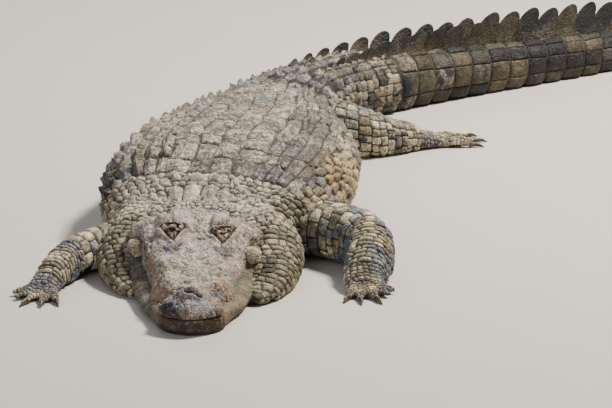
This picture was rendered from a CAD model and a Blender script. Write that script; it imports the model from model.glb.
"""A Nile crocodile lying at rest: one skin, a coat of solid scales over it, hide of the head, lids and claws.

Metres, +Z up, the floor at z = 0. The head points to -Y, the animal's left side is +X, and the origin is on
the floor under the middle of the chest. Stations are distances from the snout along the spine.
"""
import logging
import math
from dataclasses import dataclass, field
from enum import Enum
from typing import Callable, Sequence

import bpy
import numpy as np
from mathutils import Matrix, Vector


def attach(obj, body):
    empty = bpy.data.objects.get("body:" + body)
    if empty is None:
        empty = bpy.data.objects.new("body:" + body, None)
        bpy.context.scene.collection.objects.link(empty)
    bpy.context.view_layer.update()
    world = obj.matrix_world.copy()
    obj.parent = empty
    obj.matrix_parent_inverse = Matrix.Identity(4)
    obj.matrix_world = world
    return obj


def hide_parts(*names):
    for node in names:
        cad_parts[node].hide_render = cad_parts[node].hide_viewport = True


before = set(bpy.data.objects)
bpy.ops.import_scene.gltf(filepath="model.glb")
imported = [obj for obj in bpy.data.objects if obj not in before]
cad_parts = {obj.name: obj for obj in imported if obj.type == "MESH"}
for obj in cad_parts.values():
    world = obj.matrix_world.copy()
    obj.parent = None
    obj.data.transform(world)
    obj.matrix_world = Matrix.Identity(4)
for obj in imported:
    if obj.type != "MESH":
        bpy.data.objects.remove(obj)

LOG = logging.getLogger("crocodile")
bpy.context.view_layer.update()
Array = np.ndarray
Curve = Callable[[Array], Array]
MM = 0.001
TURN = 2 * np.pi
TINY = 1e-9

BODY_NODES = ("neck", "chest", "belly", "hips", "tail_base", "tail_middle", "tail_rear", "tail_tip")
HEAD_NODES = ("head_upper", "head_lower_jaw")


# ------------------------------------------------------------------ numbers and noise

def curve_through(rows: Sequence[Sequence[float]], column: int, scale: float = 1.0) -> Curve:
    """Makes a smooth curve that never overshoots the rows (cubic pieces, harmonic mean slopes).

    Args:
        rows: table whose first column is the place and the others the values.
        column: the column that the curve follows.
        scale: factor on the values.

    Returns:
        A function of an array of places.
    """
    table = np.asarray(rows, float)
    xs, ys = table[:, 0], table[:, column] * scale
    chords = np.diff(ys) / np.diff(xs)
    before = np.concatenate([chords[:1], chords])
    after = np.concatenate([chords, chords[-1:]])
    total = np.where(before + after == 0.0, 1.0, before + after)
    slopes = np.where(before * after > 0.0, 2.0 * before * after / total, 0.0)

    def curve(x: Array) -> Array:
        """Value at each place, held level past both ends.

        Args:
            x: the places.

        Returns:
            The values.
        """
        x = np.clip(np.asarray(x, float), xs[0], xs[-1])
        i = np.clip(np.searchsorted(xs, x, side="right") - 1, 0, len(xs) - 2)
        width = xs[i + 1] - xs[i]
        t = (x - xs[i]) / width
        rise = ys[i] * (1 + 2 * t) * (1 - t) ** 2 + ys[i + 1] * t * t * (3 - 2 * t)
        return rise + width * t * (1 - t) * (slopes[i] * (1 - t) - slopes[i + 1] * t)

    return curve


def ease(x: Array, low: float, high: float) -> Array:
    """Smooth step from 0 at low to 1 at high."""
    t = np.clip((np.asarray(x, float) - low) / (high - low), 0.0, 1.0)
    return t * t * (3 - 2 * t)


def bump(distance: Array, width: float) -> Array:
    """Bell curve of a distance."""
    return np.exp(-((np.asarray(distance, float) / width) ** 2))


def hashed(*cells: Array) -> Array:
    """Even random number for each set of whole numbers: the fraction of a large multiple of a sine.

    Args:
        cells: up to four arrays of whole numbers.

    Returns:
        Values from 0 to 1.
    """
    mixed = np.zeros_like(np.asarray(cells[0], float))
    for weight, cell in zip((127.1, 311.7, 74.7, 213.3), cells):
        mixed = mixed + np.asarray(cell, float) * weight
    wave = np.sin(mixed) * 43758.5453
    return wave - np.floor(wave)


def cloud(points: Array, size: float, seed: int = 0, octaves: int = 1) -> Array:
    """Smooth random field in space: blended random values on a lattice, summed over halved lattices.

    Args:
        points: places, with the coordinates on the last axis.
        size: width of a lattice cell in metres.
        seed: picks the field.
        octaves: number of lattices.

    Returns:
        Values around 0.5.
    """
    total = np.zeros(points.shape[:-1])
    weight = 0.0
    for octave in range(octaves):
        place = points / (size * 0.5 ** octave)
        cell = np.floor(place)
        t = place - cell
        t = t * t * (3 - 2 * t)
        value = np.zeros(points.shape[:-1])
        for corner in np.ndindex(2, 2, 2):
            corner_weight = np.prod(np.where(np.array(corner) == 1, t, 1 - t), axis=-1)
            lattice = cell + np.array(corner)
            value += corner_weight * hashed(lattice[..., 0], lattice[..., 1], lattice[..., 2],
                                            np.full(value.shape, seed + 7.0 * octave))
        total += value * 0.5 ** octave
        weight += 0.5 ** octave
    return total / weight


def cracks(u: Array, v: Array, size: float, seed: int) -> tuple[Array, Array]:
    """Cells round scattered points on a plane, with one point in each square of a lattice.

    Args:
        u: first coordinate in metres.
        v: second coordinate in metres.
        size: width of a square.
        seed: picks the pattern.

    Returns:
        How far each place is from the nearest border between two cells, as a share of the square, and a
        random number of its cell.
    """
    spread = 0.8
    cu, cv = np.floor(u / size), np.floor(v / size)
    nearest = np.full(u.shape, 9.0)
    second = nearest
    tone = np.zeros(u.shape)
    for du in (-1, 0, 1):
        for dv in (-1, 0, 1):
            iu, iv = cu + du, cv + dv
            pu = iu + 0.5 + spread * (hashed(iu, iv, np.full(u.shape, seed)) - 0.5)
            pv = iv + 0.5 + spread * (hashed(iu, iv, np.full(u.shape, seed + 5)) - 0.5)
            gap = np.hypot(u / size - pu, v / size - pv)
            closer = gap < nearest
            second = np.where(closer, nearest, np.minimum(second, gap))
            tone = np.where(closer, hashed(iu, iv, np.full(u.shape, seed + 9)), tone)
            nearest = np.where(closer, gap, nearest)
    return second - nearest, tone


# ------------------------------------------------------------------ surfaces and meshes

class GridSurface:
    """Points on a regular grid of two parameters, blended between them."""

    def __init__(self, points: Array, start: float, end: float) -> None:
        """Keeps the grid.

        Args:
            points: grid of points, first axis along the body from start to end, second across from -1 to 1.
            start: first parameter at the first row.
            end: first parameter at the last row.
        """
        self.points = points
        self.start = start
        self.end = end

    def at(self, along: Array, across: Array) -> Array:
        """Point at each pair of parameters.

        Args:
            along: first parameter.
            across: second parameter, from -1 to 1.

        Returns:
            The points, with the coordinates on a new last axis.
        """
        rows, columns = self.points.shape[:2]
        i = np.clip((along - self.start) / (self.end - self.start), 0, 1) * (rows - 1)
        j = np.clip((across + 1) / 2, 0, 1) * (columns - 1)
        i0 = np.minimum(i.astype(int), rows - 2)
        j0 = np.minimum(j.astype(int), columns - 2)
        ti, tj = (i - i0)[..., None], (j - j0)[..., None]
        near = self.points[i0, j0] * (1 - tj) + self.points[i0, j0 + 1] * tj
        far = self.points[i0 + 1, j0] * (1 - tj) + self.points[i0 + 1, j0 + 1] * tj
        return near * (1 - ti) + far * ti


def unit(vectors: Array) -> Array:
    """Vectors made one long."""
    return vectors / np.maximum(np.linalg.norm(vectors, axis=-1, keepdims=True), TINY)


def outward(points: Array, row_axis: int = 0) -> Array:
    """Unit normals of a grid of points, from its own differences: columns crossed with rows."""
    return unit(np.cross(np.gradient(points, axis=row_axis + 1), np.gradient(points, axis=row_axis)))


def run_length(points: Array) -> Array:
    """Length run along each line of points up to each of them."""
    steps = np.linalg.norm(np.diff(points, axis=-2), axis=-1)
    return np.concatenate([np.zeros(steps.shape[:-1] + (1,)), np.cumsum(steps, axis=-1)], axis=-1)


def even_girth(rings: Array, columns: int) -> Array:
    """Spaces the points of every open ring evenly by length.

    Args:
        rings: stack of rings, each from the belly's middle over the back to the belly's middle.
        columns: points wanted in each ring.

    Returns:
        The new stack.
    """
    count = len(rings)
    run = run_length(rings)
    run = run / run[:, -1:] + 2.0 * np.arange(count)[:, None]
    wanted = np.linspace(0, 1, columns)[None, :] + 2.0 * np.arange(count)[:, None]
    axes = [np.interp(wanted.ravel(), run.ravel(), rings[..., k].ravel()) for k in range(3)]
    return np.stack(axes, axis=-1).reshape(count, columns, 3)


def make_mesh(name: str, points: Array, faces: Sequence[Array]) -> bpy.types.Mesh:
    """Builds a mesh from whole arrays.

    Args:
        name: the mesh's name.
        points: vertices.
        faces: arrays of faces, each with one row of vertex numbers per face.

    Returns:
        The mesh, shaded smooth.
    """
    mesh = bpy.data.meshes.new(name)
    loops = np.concatenate([block.ravel() for block in faces]).astype(np.int32)
    sizes = np.concatenate([np.full(len(block), block.shape[1]) for block in faces]).astype(np.int32)
    mesh.vertices.add(len(points))
    mesh.vertices.foreach_set("co", np.ascontiguousarray(points, np.float32).ravel())
    mesh.loops.add(len(loops))
    mesh.loops.foreach_set("vertex_index", loops)
    mesh.polygons.add(len(sizes))
    mesh.polygons.foreach_set("loop_start", np.concatenate([[0], np.cumsum(sizes)[:-1]]).astype(np.int32))
    mesh.polygons.foreach_set("loop_total", sizes)
    mesh.update(calc_edges=True)
    mesh.polygons.foreach_set("use_smooth", np.ones(len(sizes), bool))
    return mesh


def tube_faces(rings: int, sides: int, offset: int = 0) -> list[Array]:
    """Faces of a closed stack of closed rings, with one flat face at each end.

    Args:
        rings: number of rings.
        sides: points in each ring.
        offset: number of the first vertex.

    Returns:
        The side faces and the two end faces.
    """
    i, k = np.meshgrid(np.arange(rings - 1), np.arange(sides), indexing="ij")
    a, b = i * sides + k, i * sides + (k + 1) % sides
    side = np.stack([a, a + sides, b + sides, b], axis=-1).reshape(-1, 4) + offset
    first = np.arange(sides)[None, :] + offset
    last = np.arange(sides)[None, ::-1] + (rings - 1) * sides + offset
    return [side, first, last]


def grid_faces(rows: int, columns: int) -> Array:
    """Faces of an open grid of points, which turn from the rows to the columns."""
    index = np.arange(rows * columns).reshape(rows, columns)
    return np.stack([index[:-1, :-1], index[1:, :-1], index[1:, 1:], index[:-1, 1:]], axis=-1).reshape(-1, 4)


def tube_mesh(name: str, stacks: Sequence[Array], inward: bool = False) -> bpy.types.Mesh:
    """Builds one mesh of closed stacks of rings.

    Args:
        name: the mesh's name.
        stacks: for each solid its points, shaped (rings, sides, 3).
        inward: whether the rings turn the other way round, so that the faces have to be turned.

    Returns:
        The mesh, shaded smooth.
    """
    faces, offset = [], 0
    for stack in stacks:
        rings, sides = stack.shape[:2]
        faces.extend(tube_faces(rings, sides, offset))
        offset += rings * sides
    if inward:
        faces = [block[:, ::-1] for block in faces]
    return make_mesh(name, np.concatenate([stack.reshape(-1, 3) for stack in stacks]), faces)


def add_object(name: str, mesh: bpy.types.Mesh) -> bpy.types.Object:
    """Puts a mesh into the scene at the origin.

    Args:
        name: the object's name.
        mesh: its mesh.

    Returns:
        The object.
    """
    piece = bpy.data.objects.new(name, mesh)
    bpy.context.scene.collection.objects.link(piece)
    return piece


def settled(piece: bpy.types.Object) -> bpy.types.Mesh:
    """Mesh of a piece with its modifiers applied."""
    graph = bpy.context.evaluated_depsgraph_get()
    return bpy.data.meshes.new_from_object(piece.evaluated_get(graph))


def vertex_data(mesh: bpy.types.Mesh, name: str = "co") -> Array:
    """Places or normals of a mesh's vertices.

    Args:
        mesh: the mesh.
        name: co for the places, normal for the normals.

    Returns:
        One row of three numbers for each vertex.
    """
    flat = np.empty(len(mesh.vertices) * 3, np.float32)
    mesh.vertices.foreach_get(name, flat)
    return flat.reshape(-1, 3).astype(float)


def paint(mesh: bpy.types.Mesh, mark: Array, part: Array) -> None:
    """Stores the two sets of four numbers that the finishes read at each vertex.

    Args:
        mesh: the mesh.
        mark: amounts of dark, ochre, blue-grey and mud.
        part: tone of the scale, cavity from 0 in a groove to 1, and place across and along the scale.
    """
    for name, values in (("mark", mark), ("part", part)):
        layer = mesh.attributes.new(name, "FLOAT_COLOR", "POINT")
        layer.data.foreach_set("color", np.ascontiguousarray(values, np.float32).ravel())


def side_name(side: int) -> str:
    """Word for the animal's left side, 1, or right side, -1."""
    return "left" if side > 0 else "right"


def unwrap(mesh: bpy.types.Mesh, places: Array) -> None:
    """Stores the map that the bake needs.

    Args:
        mesh: the mesh.
        places: place of each vertex on the map.
    """
    loops = np.empty(len(mesh.loops), np.int32)
    mesh.loops.foreach_get("vertex_index", loops)
    layer = mesh.uv_layers.new(name="OFBake")
    layer.data.foreach_set("uv", places.reshape(-1, 2)[loops].astype(np.float32).ravel())


# ------------------------------------------------------------------ form of the animal

@dataclass
class Spine:
    """The backbone's line on the floor."""

    length: float = 4.45
    origin_station: float = 1.05
    step: float = 0.01
    headings: tuple = (
        (0, 0), (600, 0), (800, 13), (1000, 13), (1300, 9), (1600, 7), (1950, 13),
        (2250, 26), (2500, 42), (2800, 55), (3200, 57), (3700, 50), (4450, 36),
    )

    def __post_init__(self) -> None:
        """Adds up short steps in the heading's direction."""
        self.heading_curve = curve_through(self.headings, 1, math.pi / 180)
        self.stations = np.arange(0, self.length + self.step, self.step)
        middles = (self.stations[:-1] + self.step / 2) / MM
        heading = self.heading_curve(middles)
        self.xs = np.concatenate([[0], np.cumsum(np.sin(heading)) * self.step])
        self.ys = np.concatenate([[0], np.cumsum(np.cos(heading)) * self.step])
        self.xs = self.xs - np.interp(self.origin_station, self.stations, self.xs)
        self.ys = self.ys - np.interp(self.origin_station, self.stations, self.ys)
        self.snout = np.array([self.xs[0], self.ys[0], 0.0])

    def stand(self, station: Array, side: Array, height: Array) -> Array:
        """Places points beside the spine.

        Args:
            station: distance from the snout.
            side: distance to the animal's left.
            height: height above the floor.

        Returns:
            The points.
        """
        heading = self.heading_curve(station / MM)
        x = np.interp(station, self.stations, self.xs) + side * np.cos(heading)
        y = np.interp(station, self.stations, self.ys) - side * np.sin(heading)
        return np.stack([x, y, height + np.zeros_like(x)], axis=-1)

    def nearest(self, points: Array) -> Array:
        """Station of the spine nearest to each point, on the floor plan.

        Args:
            points: list of points.

        Returns:
            One station for each point.
        """
        line = np.stack([self.xs, self.ys], axis=-1)
        best = np.empty(len(points))
        block = 20000
        for start in range(0, len(points), block):
            apart = points[start:start + block, None, :2] - line[None]
            best[start:start + block] = self.stations[np.argmin((apart ** 2).sum(axis=-1), axis=1)]
        return best


SPINE = Spine()


def sweep(columns: int) -> Array:
    """Fine steps of a whole turn from straight down over the right side."""
    return np.linspace(0.75 * TURN, -0.25 * TURN, 4 * columns)


def lying_ring(angle: Array, half: Array, bottom: Array, widest: Array, top: Array,
               floor: float) -> tuple[Array, Array]:
    """Rounded section of a body that lies on the floor, cut off flat below.

    Args:
        angle: direction round the section, from the left side over the back.
        half: half width.
        bottom: height that the round underside would reach.
        widest: height of the widest line.
        top: height of the back.
        floor: height of the flat.

    Returns:
        Distances to the left and heights.
    """
    across, up = np.cos(angle), np.sin(angle)
    side = half * np.sign(across) * np.abs(across) ** 0.9
    above = (top - widest) * np.maximum(up, 0) ** 0.9
    below = (bottom - widest) * np.maximum(-up, 0) ** 0.75
    return side, np.maximum(widest + above + below, floor)


@dataclass
class TrunkForm:
    """Measures of neck, trunk and tail without their crest: station, half width, back and widest line."""

    start: float = 0.60
    end: float = 4.45
    belly_sink: float = 0.2
    rows: tuple = (
        (600, 190, 180, 80), (700, 250, 195, 90), (800, 310, 232, 110), (1050, 362, 295, 140),
        (1250, 348, 300, 148), (1500, 288, 285, 140), (1750, 210, 262, 130), (2000, 168, 238, 118),
        (2200, 150, 222, 110), (2600, 118, 190, 96), (3000, 86, 158, 80), (3600, 50, 128, 64),
        (4200, 20, 85, 45), (4450, 6, 26, 14),
    )

    def __post_init__(self) -> None:
        """Prepares the curves of half width, back and widest line."""
        self.half, self.top, self.widest = (curve_through(self.rows, k, MM) for k in (1, 2, 3))


@dataclass
class PathForm:
    """A limb, digit, claw or throat bulge: sections stacked along a path on the floor.

    Each row holds the place from the snout, half width, underside and top, in millimetres.
    """

    rows: tuple
    widest_share: float = 0.46
    start: float = 0.0
    end: float = field(init=False)

    def __post_init__(self) -> None:
        """Prepares the path and the curves of half width, underside and top."""
        self.end = float(len(self.rows) - 1)
        table = np.asarray(self.rows, float)
        numbered = np.column_stack([np.arange(len(table)), table])
        self.half, self.bottom, self.top = (curve_through(numbered, k, MM) for k in (3, 4, 5))
        inner = table[:, :2] * MM + SPINE.snout[:2]
        self.knots = np.vstack([2 * inner[0] - inner[1], inner, 2 * inner[-1] - inner[-2]])

    def point(self, along: Array) -> Array:
        """Point of the path: a centripetal spline through the rows' places.

        Args:
            along: place along the path, counted in rows.

        Returns:
            The points on the floor plan.
        """
        i = np.clip(np.floor(along).astype(int), 0, int(self.end) - 1)
        t = (along - i)[..., None]
        p0, p1, p2, p3 = (self.knots[i + k] for k in range(4))
        d0, d1, d2 = (np.linalg.norm(b - a, axis=-1, keepdims=True) ** 0.5
                      for a, b in ((p0, p1), (p1, p2), (p2, p3)))
        leave = ((p1 - p0) / d0 - (p2 - p0) / (d0 + d1) + (p2 - p1) / d1) * d1
        arrive = ((p2 - p1) / d1 - (p3 - p1) / (d1 + d2) + (p3 - p2) / d2) * d1
        cubic = 2 * p1 - 2 * p2 + leave + arrive
        square = 3 * p2 - 3 * p1 - 2 * leave - arrive
        return p1 + t * (leave + t * (square + t * cubic))

    def ring(self, along: Array, angle: Array, inset: float) -> Array:
        """Sections across the path.

        Args:
            along: places along the path.
            angle: directions round the section.
            inset: how much smaller the section is all round.

        Returns:
            The points.
        """
        reach = 0.01
        along = along + 0 * angle
        here = self.point(along)
        ahead = self.point(np.minimum(along + reach, self.end)) - self.point(np.maximum(along - reach, 0))
        heading = np.arctan2(ahead[..., 0], ahead[..., 1])
        bottom, top = self.bottom(along), self.top(along)
        widest = bottom + (top - bottom) * self.widest_share
        half = np.maximum(self.half(along) - inset, MM)
        crest = np.maximum(top - inset, widest + MM)
        side, height = lying_ring(angle, half, bottom + inset, widest, crest, min(inset, 4 * MM))
        x = here[..., 0] + side * np.cos(heading)
        y = here[..., 1] - side * np.sin(heading)
        return np.stack([x, y, height], axis=-1)

    def rings(self, along: Array, sides: int, inset: float) -> Array:
        """Closed sections for a solid."""
        angle = np.arange(sides) * TURN / sides
        return self.ring(along[:, None], angle[None, :], inset)

    def surface(self, rows: int, columns: int, inset: float) -> GridSurface:
        """Outer surface, from the belly's middle over the right side and the back to the left side.

        Args:
            rows: rows of points along the part.
            columns: points across.
            inset: how much smaller the surface is all round.

        Returns:
            The surface.
        """
        along = np.linspace(self.start, self.end, rows)
        points = self.ring(along[:, None], sweep(columns)[None, :], inset)
        return GridSurface(even_girth(points, columns), self.start, self.end)


class FootKind(Enum):
    """The two kinds of foot: fan angle and length of each digit, and the digits' measures."""

    FORE = (((-36, 56), (-17, 72), (3, 78), (24, 70), (46, 52)), 15, 34, 23, 26, 34)
    HIND = (((-28, 76), (-9, 100), (11, 106), (31, 90)), 17, 34, 26, 30, 42)

    @property
    def digits(self) -> tuple:
        """Fan angle and length of each digit."""
        return self.value[0]

    @property
    def measures(self) -> tuple:
        """Half width, top, spread, distance back from the foot's end, and claw length."""
        return self.value[1:]


@dataclass
class Limb:
    """One leg: its path, its foot and its digits."""

    name: str
    side: int
    kind: FootKind
    turn: float
    rows: tuple
    parts: tuple

    def __post_init__(self) -> None:
        """Prepares the leg's own form."""
        self.form = PathForm(self.rows)

    @property
    def nodes(self) -> list[str]:
        """The CAD nodes of the leg's flesh."""
        return [f"{self.name}_{part}" for part in self.parts]

    def digits(self) -> list[PathForm]:
        """Forms of all digits."""
        return [PathForm(self.digit_rows(number)[0]) for number in range(len(self.kind.digits))]

    def digit_rows(self, number: int) -> tuple[tuple, tuple]:
        """Paths of one digit and of its claw.

        Args:
            number: which digit, counted from the inner one.

        Returns:
            Rows of the digit and rows of the claw, in millimetres from the snout.
        """
        half, top, spread, back, claw = self.kind.measures
        fan, length = self.kind.digits[number]
        (x0, y0), (x1, y1) = self.rows[-2][:2], self.rows[-1][:2]
        axis = math.atan2(x1 - x0, y1 - y0) - self.side * math.radians(self.turn)
        heading = axis - self.side * math.radians(fan)
        offset = self.side * ((number + 0.5) / len(self.kind.digits) - 0.5) * 2 * spread
        x = x1 - offset * math.cos(axis) - back * math.sin(axis)
        y = y1 + offset * math.sin(axis) - back * math.cos(axis)

        def row(distance: float, width: float, height: float) -> tuple:
            """One row of a path this far along the digit, its underside sunk by a seventh of its height."""
            return (x + distance * math.sin(heading), y + distance * math.cos(heading),
                    width, -0.14 * height, height)

        tip = back + length
        digit = (row(0, half, top), row(tip * 0.6, half, top * 0.86), row(tip, half * 0.72, top * 0.58))
        nail = (row(tip - 6, half * 0.52, top * 0.48), row(tip + claw * 0.5, half * 0.34, top * 0.36),
                row(tip + claw, 1.2, 4))
        return digit, nail


LIMBS = (
    Limb("fore_left", 1, FootKind.FORE, 14, (
        (225, 822, 76, 10, 150), (325, 772, 78, 5, 156), (414, 712, 74, 0, 160), (468, 632, 69, -8, 152),
        (474, 548, 68, -10, 132), (464, 480, 64, -8, 102), (458, 430, 60, -6, 66), (461, 396, 55, -5, 44)),
        ("upper_arm", "forearm", "hand")),
    Limb("fore_right", -1, FootKind.FORE, 8, (
        (-120, 790, 56, 10, 130), (-210, 705, 54, 5, 124), (-290, 630, 50, 0, 116), (-345, 556, 49, -4, 106),
        (-376, 480, 46, -6, 90), (-394, 430, 43, -6, 72), (-405, 395, 46, -6, 54), (-412, 370, 45, -5, 42)),
        ("upper_arm", "forearm", "hand")),
    Limb("hind_left", 1, FootKind.HIND, 0, (
        (240, 1985, 96, 10, 190), (360, 1918, 88, 4, 176), (470, 1895, 74, -8, 148),
        (555, 1922, 62, -10, 112), (622, 1964, 52, -8, 82), (676, 1992, 50, -6, 54),
        (722, 2014, 50, -5, 36)),
        ("thigh", "shank", "foot")),
    Limb("hind_right", -1, FootKind.HIND, 0, (
        (160, 1900, 90, 10, 180), (50, 1985, 84, 2, 160), (2, 2085, 72, -8, 134), (30, 2180, 58, -10, 104),
        (78, 2255, 48, -8, 76), (118, 2310, 48, -6, 52), (150, 2352, 48, -5, 36)),
        ("thigh", "shank", "foot")),
)

JOWLS = (
    PathForm((
        (140, 740, 110, 0, 185), (194, 590, 102, -12, 144), (206, 460, 76, -14, 88),
        (186, 350, 50, -10, 50), (156, 280, 26, -8, 30))),
    PathForm((
        (-130, 740, 110, 0, 185), (-184, 620, 90, -12, 140), (-200, 500, 64, -14, 84),
        (-182, 400, 36, -10, 44), (-155, 345, 20, -8, 26))),
)

TRUNK = TrunkForm()


# ------------------------------------------------------------------ markings of the hide

class Region(Enum):
    """Kinds of hide that are coloured differently."""

    TRUNK = "trunk"
    TAIL = "tail"
    NECK = "neck"
    ARM = "arm"
    LEG = "leg"
    HAND = "hand"
    HEAD = "head"
    JAW = "jaw"


LIMB_REGIONS = (Region.ARM, Region.LEG, Region.HAND)


@dataclass
class Markings:
    """Where the hide is dark, ochre, blue-grey or muddy: the same for the skin and the coat.

    noises holds the size and seed of four random fields: blotches, patches, wide ones and specks.
    """

    noises: tuple = ((0.10, 3), (0.055, 11), (0.32, 17), (0.045, 29))
    band_start: float = 2.45
    whorl: float = 0.08
    bands: tuple = (0.5, 0.35, 0.55, 0.25, 0.6, 0.3, 0.85, 0.3, 0.25, 0.9, 0.75, 0.2, 0.3, 0.85, 0.9, 0.4,
                    0.2, 0.8, 0.9, 0.5, 0.3, 0.85, 0.9, 0.6, 0.9)

    def at(self, points: Array, region: Region) -> Array:
        """Four amounts between 0 and 1: dark, ochre, blue-grey and mud.

        Args:
            points: places on the animal.
            region: the kind of hide.

        Returns:
            An array with the four amounts on its last axis.
        """
        flat = points.reshape(-1, 3)
        station = SPINE.nearest(flat)
        share = np.clip(flat[:, 2] / np.maximum(TRUNK.top(station / MM), 0.02), 0, 1.2)
        blotch, patch, wide, speck = (cloud(flat, size, seed, 2) for size, seed in self.noises)

        # Trunk: dark and ochre on the flanks, mud on the back, blue-grey in blotches.
        dark = 0.55 * ease(patch, 0.60, 0.70) * ease(share, 1.02, 0.55)
        ochre = 0.75 * ease(wide + 0.25 * (blotch - 0.5), 0.42, 0.66) * ease(share, 1.0, 0.5)
        blue = np.maximum(ease(blotch, 0.60, 0.70) * 0.75, 0.65 * ease(patch, 0.55, 0.66))
        mud = ease(share + 0.35 * (wide - 0.5) + 0.25 * (patch - 0.5), 0.66, 0.96) * 0.70

        # Rump: darker and bluer, with less mud.
        rump = ease(station, 1.55, 2.00) * ease(station, 2.75, 2.55)
        dark = np.maximum(dark, rump * 0.85 * ease(speck, 0.42, 0.54))
        blue = np.maximum(blue, rump * 0.90 * ease(patch, 0.42, 0.54))
        mud = mud * (1 - 0.65 * rump)

        # Shoulders: a dark patch on the right one, a golden and two slate ones on the left one.
        x, y = flat[:, 0] - SPINE.snout[0], flat[:, 1] - SPINE.snout[1]
        shoulder = bump(x + 0.27, 0.085) * bump(y - 0.93, 0.13)
        golden = bump(x - 0.34, 0.095) * bump(y - 0.88, 0.15)
        slate = (bump(x - 0.275, 0.050) * bump(y - 0.82, 0.085)
                 + bump(x - 0.33, 0.055) * bump(y - 1.12, 0.10))
        smoky = 0.95 * shoulder * ease(patch, 0.30, 0.50) + 0.55 * slate * ease(speck, 0.5, 0.6)
        dark = np.maximum(dark, smoky)
        blue = np.maximum(blue, 0.9 * np.maximum(shoulder, slate * ease(speck, 0.36, 0.50)))
        ochre = np.maximum(ochre, 1.3 * golden * ease(speck, 0.32, 0.48))
        mud = mud * (1 - 0.8 * np.clip(shoulder + golden + slate, 0, 1))

        if region in LIMB_REGIONS:
            dark = 0.32 * ease(patch, 0.58, 0.66)
            ochre = 0.55 * ease(blotch, 0.46, 0.62)
            blue = 0.95 * ease(cloud(flat, 0.055, 23, 2), 0.47, 0.53)
            mud = 0.35 * ease(wide + 0.3 * (patch - 0.5), 0.52, 0.64)
        if region is Region.LEG:
            dark, blue, mud = 0.26 + 0.5 * dark, 0.55 * blue, 0.25 + mud
        if region is Region.HAND:
            mud = 0.15 + 0.45 * ease(patch, 0.35, 0.6)
        if region is Region.NECK:
            ochre = 0.05 + 0.25 * blotch
            dark = 0.22 * ease(patch, 0.58, 0.7)
            blue = np.maximum(0.30 * ease(blotch, 0.5, 0.7), 0.7 * slate * ease(speck, 0.4, 0.55))
            mud = 0.15 + 0.85 * ease(share, 0.62, 0.90)
            dark = np.maximum(dark, 0.75 * bump(x - 0.205, 0.030) * bump(y - 0.42, 0.060))

        # Tail: broken dark bands, of one strength for each whorl, with ochre between them.
        if region in (Region.TAIL, Region.TRUNK):
            tail = ease(station, self.band_start - 0.35, self.band_start + 0.15)
            number = np.floor((station - self.band_start) / self.whorl).astype(int)
            band = np.asarray(self.bands)[np.clip(number, 0, len(self.bands) - 1)]
            broken = ease(band + 2.6 * (patch - 0.5) + 1.4 * (blotch - 0.5), 0.30, 0.75)
            crust = 0.75 * tail * ease(station, 3.05, 2.55) * ease(patch, 0.40, 0.55)
            dark = dark * (1 - tail) + tail * broken * 0.85
            ochre = ochre * (1 - tail) + tail * 0.55 * ease(wide, 0.3, 0.7) * (1 - 0.7 * broken)
            blue = blue * (1 - tail) + tail * 0.35 * broken
            mud = np.maximum(mud * (1 - 0.75 * tail), crust)
        if region is Region.TRUNK:
            late = ease(station, 2.12, 2.58)
            dark = np.maximum(dark, late * (0.32 + 0.62 * ease(speck, 0.41, 0.51)))
            mud = mud * (1 - 0.55 * late)
        amounts = np.stack([dark, ochre, blue, mud], axis=-1)
        return np.clip(amounts, 0, 1).reshape(points.shape[:-1] + (4,))


MARKINGS = Markings()


# ------------------------------------------------------------------ scales

@dataclass
class ScaleLook:
    """Measures of one kind of scale, in metres, and how regular it is.

    A scale is a small closed solid: a grid of samples by samples points whose rim is sunk in the skin.
    """

    height: float
    samples: int = 7
    dome: float = 0.001
    keel: float = 0.0
    keel_width: float = 0.22
    tilt: float = 0.0
    gap: float = 0.0025
    roundness: float = 0.35
    jitter: float = 0.02
    warp: float = 0.20
    sink: float = 0.002
    uneven: float = 0.15
    rough: float = 0.0004
    grit: float = 0.012
    edge: float = 10.0
    side_edge: float = 1.0
    seam: float | None = None

    def knots(self) -> Array:
        """Places of the samples, closer together near the rim.

        Returns:
            The places, from -1 to 1.
        """
        inner = {5: (-0.82, 0.0, 0.82), 7: (-0.91, -0.6, 0.0, 0.6, 0.91),
                 9: (-0.93, -0.72, -0.36, 0.0, 0.36, 0.72, 0.93),
                 11: (-0.945, -0.78, -0.5, -0.2, 0.0, 0.2, 0.5, 0.78, 0.945),
                 13: (-0.955, -0.84, -0.64, -0.4, -0.18, 0.0, 0.18, 0.4, 0.64, 0.84, 0.955)}[self.samples]
        return np.array((-1.0,) + inner + (1.0,))


def paved(surface: GridSurface, along: tuple[float, float], across: tuple[float, float], length: float,
          width: float, stagger: float = 0.5, seed: int = 1) -> Array:
    """Rows of cells of about the same real size on a surface.

    Args:
        surface: the surface.
        along: first and last place along it.
        across: first and last place across it.
        length: wanted length of a cell.
        width: wanted width of a cell.
        stagger: how far every other row is moved sideways, over a cell's width.
        seed: picks the small changes from row to row.

    Returns:
        Corners of the cells, shaped (cells, 4, 2): front right, front left, rear right, rear left.
    """
    fine = np.linspace(along[0], along[1], 200)
    run = run_length(surface.at(fine, np.full(len(fine), 0.5 * (across[0] + across[1]))))
    count = max(int(round(run[-1] / length)), 1)
    edges = np.interp(np.linspace(0, run[-1], count + 1), run, fine)
    line = np.linspace(across[0], across[1], 60)
    cells = []
    for row in range(count):
        here = 0.5 * (edges[row] + edges[row + 1])
        girth = run_length(surface.at(np.full(len(line), here), line))[-1]
        wanted = max(int(round(girth / width)), 2)
        shift = stagger * (row % 2) + 0.2 * math.sin(seed + 5.1 * row)
        wander = 0.22 * np.sin(12.9 * np.arange(wanted + 1) + 7.3 * row + seed)
        borders = (np.arange(wanted + 1) + wander + (shift if stagger else 0.0)) / wanted
        borders = across[0] + (across[1] - across[0]) * borders
        cells.append(ruled(edges[row:row + 2], borders))
    return np.concatenate(cells)


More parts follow.
